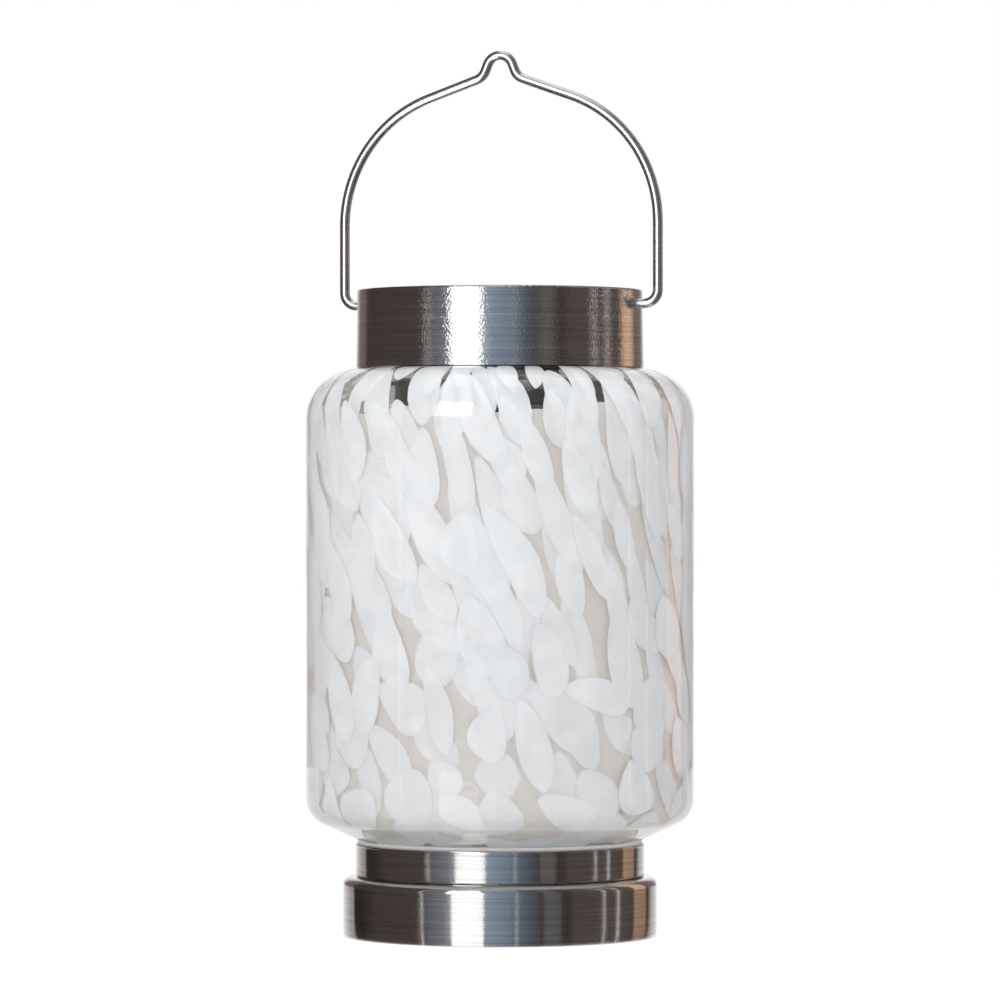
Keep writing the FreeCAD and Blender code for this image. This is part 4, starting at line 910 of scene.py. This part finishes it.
# Cards round the lantern that only steel, wire and gloss can see: degrees to the right of the camera where
# each card starts and ends, and its colours at those two edges.
CARDS = {
    "left wall": (-128, -57, (0.080, 0.061, 0.054), (0.105, 0.085, 0.080)),
    "left tube": (-60, -58.6, (1.05, 1.05, 1.08), (1.05, 1.05, 1.08)),
    "shaded window": (-57, -28, (0.17, 0.17, 0.19), (0.38, 0.42, 0.50)),
    "window": (-28, 9, (0.52, 0.62, 0.76), (0.24, 0.31, 0.41)),
    "window bar": (10, 13, (0.40, 0.48, 0.58), (0.40, 0.48, 0.58)),
    "dark window": (13, 29, (0.19, 0.23, 0.29), (0.09, 0.094, 0.105)),
    "grey flag": (31, 44, (0.17, 0.17, 0.17), (0.16, 0.155, 0.15)),
    "right wall": (53, 112, (0.115, 0.094, 0.088), (0.135, 0.112, 0.106)),
    "inner tube": (79.5, 81, (0.98, 0.92, 0.89), (0.98, 0.92, 0.89)),
    "outer tube": (93.5, 95, (1.08, 1.01, 0.97), (1.08, 1.01, 0.97)),
    "copper card": (113.5, 132, (0.90, 0.59, 0.40), (0.86, 0.57, 0.40)),
}
ROOM_TONE = (0.075, 0.060, 0.055)
EDGE_TONE = (0.22, 0.185, 0.175)
EDGE_START, BACK_START, BACK_WHITE = 135, 153, 168
CARD_STRIPS = 720
# The key softbox, the bright edges and the shift of the cards, as the card on the table repeats them, the
# angles between which it dims with its brightness there, and its height.
TABLE_BAR = (-36, -12.5, (2.2, 2.2, 2.2))
TABLE_EDGES, TABLE_EDGE_TONE = (-136, 142), (0.48, 0.455, 0.445)
TABLE_SHIFT, TABLE_DIM, TABLE_LEVEL = 4, ((105, 122), (0.92, 0.42)), 0.4 * MM
# The floor's paint and the light that it throws back, and its sheet and glow where it is seen directly.
FLOOR_TONES, FLOOR_BOUNCE = ((0.78, 0.78, 0.78), (0.82, 0.82, 0.82)), 0.28
FLOOR_SHEET, FLOOR_GLOW = (0.34, 0.34, 0.34), 0.88


def card_tone(right):
    """Colour of the studio at an angle to the right of the camera: dark ahead, white behind, with cards."""
    found = ROOM_TONE
    if abs(right) > EDGE_START:
        back = np.interp(abs(right), (BACK_START, BACK_WHITE), (0, 1))
        found = [edge + (1 - edge) * back for edge in EDGE_TONE]
    for start, end, first, last in CARDS.values():
        if start <= right <= end:
            blend = (right - start) / (end - start)
            found = [one + (other - one) * blend for one, other in zip(first, last)]
    return found


def table_tone(right):
    """Colour of the card on the table, whose strips the upright base mirrors as upright lines."""
    start, end, rgb = TABLE_BAR
    if start <= right <= end:
        return rgb
    left_edge, right_edge = TABLE_EDGES
    if right < left_edge or right > right_edge:
        back = np.interp(abs(right), (right_edge, BACK_WHITE), (0, 1))
        return [edge + (1 - edge) * back for edge in TABLE_EDGE_TONE]
    dim = np.interp(abs(right), *TABLE_DIM)
    shift = TABLE_SHIFT * max(0, math.sin(math.radians(right / 2)))
    return [tone * dim for tone in card_tone(right - shift)]


def heading(stage, right):
    """Direction on the floor at an angle to the right of the camera, seen from the lantern."""
    turn = stage.turn + math.radians(right - 90)
    return np.array((math.cos(turn), math.sin(turn)))


def glossy_only(card):
    """A card that the camera, shadows and soft light don't see."""
    card.visible_camera = False
    card.visible_shadow = False
    card.visible_diffuse = False
    card.visible_transmission = False
    card.visible_volume_scatter = False


def card_material(name):
    """Plain glow in the colour that is stored on the card's points."""
    material, tree = new_material(name)
    tone = put(tree, "ShaderNodeAttribute", attribute_name="tone").outputs["Color"]
    glow = put(tree, "ShaderNodeEmission", {"Color": tone, "Strength": 1.0})
    end_material(tree, glow.outputs["Emission"])
    material.cycles.emission_sampling = "NONE"
    return material


def add_tones(card, colours):
    tone = card.data.color_attributes.new("tone", "FLOAT_COLOR", "POINT")
    tone.data.foreach_set("color", [value for rgb in colours for value in opaque(rgb)])


def seen_directly(tree):
    """1 for what the camera sees, also in a reflection, and 0 for what it sees through glass."""
    path = put(tree, "ShaderNodeLightPath").outputs
    seen = maths(tree, "MAXIMUM", path["Is Camera Ray"], path["Is Glossy Ray"])
    return maths(tree, "SUBTRACT", seen, path["Is Transmission Ray"])


def seen_through(tree, plain, room):
    """A plain shader, with the room in its place for what is seen through glass."""
    path = put(tree, "ShaderNodeLightPath").outputs
    clear = maths(tree, "LESS_THAN", path["Diffuse Depth"], 0.5)
    through = maths(tree, "MULTIPLY", path["Is Transmission Ray"], clear)
    return put(tree, "ShaderNodeMixShader", {0: through, 1: plain, 2: room}).outputs["Shader"]


class LANTERN_OT_stage(Operator):
    """Floor, cards, lamps, sky and camera"""

    bl_idname = "lantern.stage"
    bl_label = "Stage"

    def execute(self, context):
        scene = context.scene
        stage = scene.lantern.stage
        self.make_floor(stage)
        self.make_cards(stage)
        self.make_sky(scene, stage)
        self.make_lamps(scene, stage)
        self.make_camera(scene, stage)
        scene.view_settings.view_transform = "Standard"
        scene.cycles.max_bounces = 24
        scene.cycles.diffuse_bounces = 10
        scene.cycles.transmission_bounces = 20
        scene.cycles.transparent_max_bounces = 16
        return {"FINISHED"}

    def make_floor(self, stage):
        material, tree = new_material("floor_white")
        grain = noise(tree, place(tree), 30.0, 3.0)
        paint = put(tree, "ShaderNodeBsdfDiffuse", {"Color": tones(tree, grain, *FLOOR_TONES)})
        bounce = put(tree, "ShaderNodeEmission", {"Color": (1.0, 0.98, 0.96, 1.0), "Strength": FLOOR_BOUNCE})
        pale = put(tree, "ShaderNodeAddShader", {0: paint.outputs["BSDF"], 1: bounce.outputs["Emission"]})
        sheet = put(tree, "ShaderNodeBsdfDiffuse", {"Color": opaque(FLOOR_SHEET)})
        glow = put(tree, "ShaderNodeEmission", {"Color": (1.0, 1.0, 1.0, 1.0), "Strength": FLOOR_GLOW})
        lit = put(tree, "ShaderNodeAddShader", {0: sheet.outputs["BSDF"], 1: glow.outputs["Emission"]})
        mixed = put(tree, "ShaderNodeMixShader", {
            0: seen_directly(tree), 1: pale.outputs["Shader"], 2: lit.outputs["Shader"]})
        room = put(tree, "ShaderNodeEmission", {"Color": opaque(stage.beyond), "Strength": 1.0})
        end_material(tree, seen_through(tree, mixed.outputs["Shader"], room.outputs["Emission"]))
        material.cycles.emission_sampling = "NONE"
        half = stage.floor_size
        corners = [(-half, -half, 0), (half, -half, 0), (half, half, 0), (-half, half, 0)]
        new_piece("floor", corners, [(0, 1, 2, 3)], material, None)

    def make_cards(self, stage):
        material = card_material("studio_cards")
        wall, table = [], []
        for step in range(CARD_STRIPS + 1):
            right = -180 + 360 * step / CARD_STRIPS
            x, y = heading(stage, right) * stage.room_radius
            wall.append(((x, y, 0.0), (x, y, stage.room_height), card_tone(right)))
            near = heading(stage, right / 2) * stage.table_inner
            far = near + heading(stage, right) * stage.table_reach
            table.append(((*near, TABLE_LEVEL), (*far, TABLE_LEVEL), table_tone(right)))
        self.add_card("room_cards", wall, material)
        self.add_card("table_card", table, material)

    def add_card(self, name, strips, material):
        """A card between pairs of points, each pair with its colour."""
        vertices = [point for strip in strips for point in strip[:2]]
        faces = [(2 * step, 2 * step + 1, 2 * step + 3, 2 * step + 2) for step in range(len(strips) - 1)]
        card = new_piece(name, vertices, faces, material, None)
        add_tones(card, [strip[2] for strip in strips for _ in range(2)])
        glossy_only(card)

    def make_sky(self, scene, stage):
        world = bpy.data.worlds.new("studio")
        world.use_nodes = True
        tree = world.node_tree
        tree.nodes.clear()
        white = put(tree, "ShaderNodeBackground", {"Color": (1.0, 1.0, 1.0, 1.0), "Strength": 1.0})
        soft = put(tree, "ShaderNodeBackground", {"Color": (1.0, 0.99, 0.98, 1.0), "Strength": stage.ambient})
        room = put(tree, "ShaderNodeBackground", {"Color": opaque(stage.beyond), "Strength": 1.0})
        mixed = put(tree, "ShaderNodeMixShader", {
            0: seen_directly(tree), 1: soft.outputs["Background"], 2: white.outputs["Background"]})
        whole = seen_through(tree, mixed.outputs["Shader"], room.outputs["Background"])
        put(tree, "ShaderNodeOutputWorld", {"Surface": whole})
        scene.world = world

    def make_lamps(self, scene, stage):
        turn = stage.turn - stage.key_turn
        spot = Vector((math.sin(turn), -math.cos(turn), 0)) * stage.key_distance
        spot.z = stage.key_height
        across = Vector((math.cos(turn), math.sin(turn), 0)) * stage.key_width / 2
        upward = Vector((0, 0, stage.key_tall / 2))
        low, high = spot - upward, spot + upward
        corners = [low - across, low + across, high + across, high - across]
        card = new_piece("key_card", corners, [(0, 1, 2, 3)], card_material("key_glow"), None)
        add_tones(card, [(stage.key_glow,) * 3] * len(corners))
        glossy_only(card)
        aim = Vector((0, 0, stage.aim_height))
        self.add_lamp(scene, "key_softbox", spot, aim, stage.key_width, stage.key_tall, stage.key_power)
        side = stage.turn + stage.fill_turn
        beside = Vector((math.sin(side), -math.cos(side), 0)) * stage.fill_distance
        beside.z = stage.key_height
        self.add_lamp(scene, "fill_softbox", beside, aim, stage.fill_size, stage.fill_size, stage.fill_power)
        overhead = Vector((0.0, 0.0, stage.top_height))
        self.add_lamp(scene, "top_softbox", overhead, aim, stage.top_size, stage.top_size, stage.top_power)

    def add_lamp(self, scene, name, spot, aim, wide, tall, power):
        lamp = bpy.data.lights.new(name, "AREA")
        lamp.shape = "RECTANGLE"
        lamp.size = wide
        lamp.size_y = tall
        lamp.energy = power
        holder = bpy.data.objects.new(name, lamp)
        holder.location = spot
        holder.rotation_euler = (aim - spot).to_track_quat("-Z", "Y").to_euler()
        holder.visible_glossy = False
        scene.collection.objects.link(holder)

    def make_camera(self, scene, stage):
        camera = bpy.data.cameras.new("camera")
        camera.lens = stage.lens
        camera.clip_start = 0.01
        holder = bpy.data.objects.new("camera", camera)
        holder.location = (
            math.sin(stage.turn) * stage.distance, -math.cos(stage.turn) * stage.distance, stage.eye_height)
        holder.rotation_euler = (math.pi / 2, 0, stage.turn)
        scene.collection.objects.link(holder)
        scene.camera = holder


class LANTERN_PT_panel(Panel):
    """The lantern's settings and the buttons that build it"""

    bl_label = "Lantern"
    bl_idname = "LANTERN_PT_panel"
    bl_space_type = "VIEW_3D"
    bl_region_type = "UI"
    bl_category = "Lantern"

    def draw(self, context):
        settings = context.scene.lantern
        for group in ("glass", "spots", "metal", "moulded", "stage"):
            box = self.layout.box()
            box.label(text=group.capitalize())
            values = getattr(settings, group)
            for name in values.__annotations__:
                box.prop(values, name)
        for operator in OPERATORS:
            self.layout.operator(operator.bl_idname)


GROUPS = (GlassSettings, SpotSettings, MetalSettings, MouldedSettings, StageSettings, LanternSettings)
OPERATORS = (
    LANTERN_OT_stage, LANTERN_OT_glass, LANTERN_OT_spots, LANTERN_OT_steel, LANTERN_OT_bail, LANTERN_OT_seals,
    LANTERN_OT_module, LANTERN_OT_panel, LANTERN_OT_screws, LANTERN_OT_electronics)
CLASSES = GROUPS + OPERATORS + (LANTERN_PT_panel,)


def register():
    for item in CLASSES:
        bpy.utils.register_class(item)
    bpy.types.Scene.lantern = PointerProperty(type=LanternSettings)


def unregister():
    del bpy.types.Scene.lantern
    for item in reversed(CLASSES):
        bpy.utils.unregister_class(item)


def main():
    register()
    bpy.ops.lantern.stage()
    bpy.ops.lantern.glass()
    bpy.ops.lantern.spots()
    bpy.ops.lantern.steel()
    bpy.ops.lantern.bail()
    bpy.ops.lantern.seals()
    bpy.ops.lantern.module()
    bpy.ops.lantern.panel()
    bpy.ops.lantern.screws()
    bpy.ops.lantern.electronics()


if __name__ == "__main__":
    main()
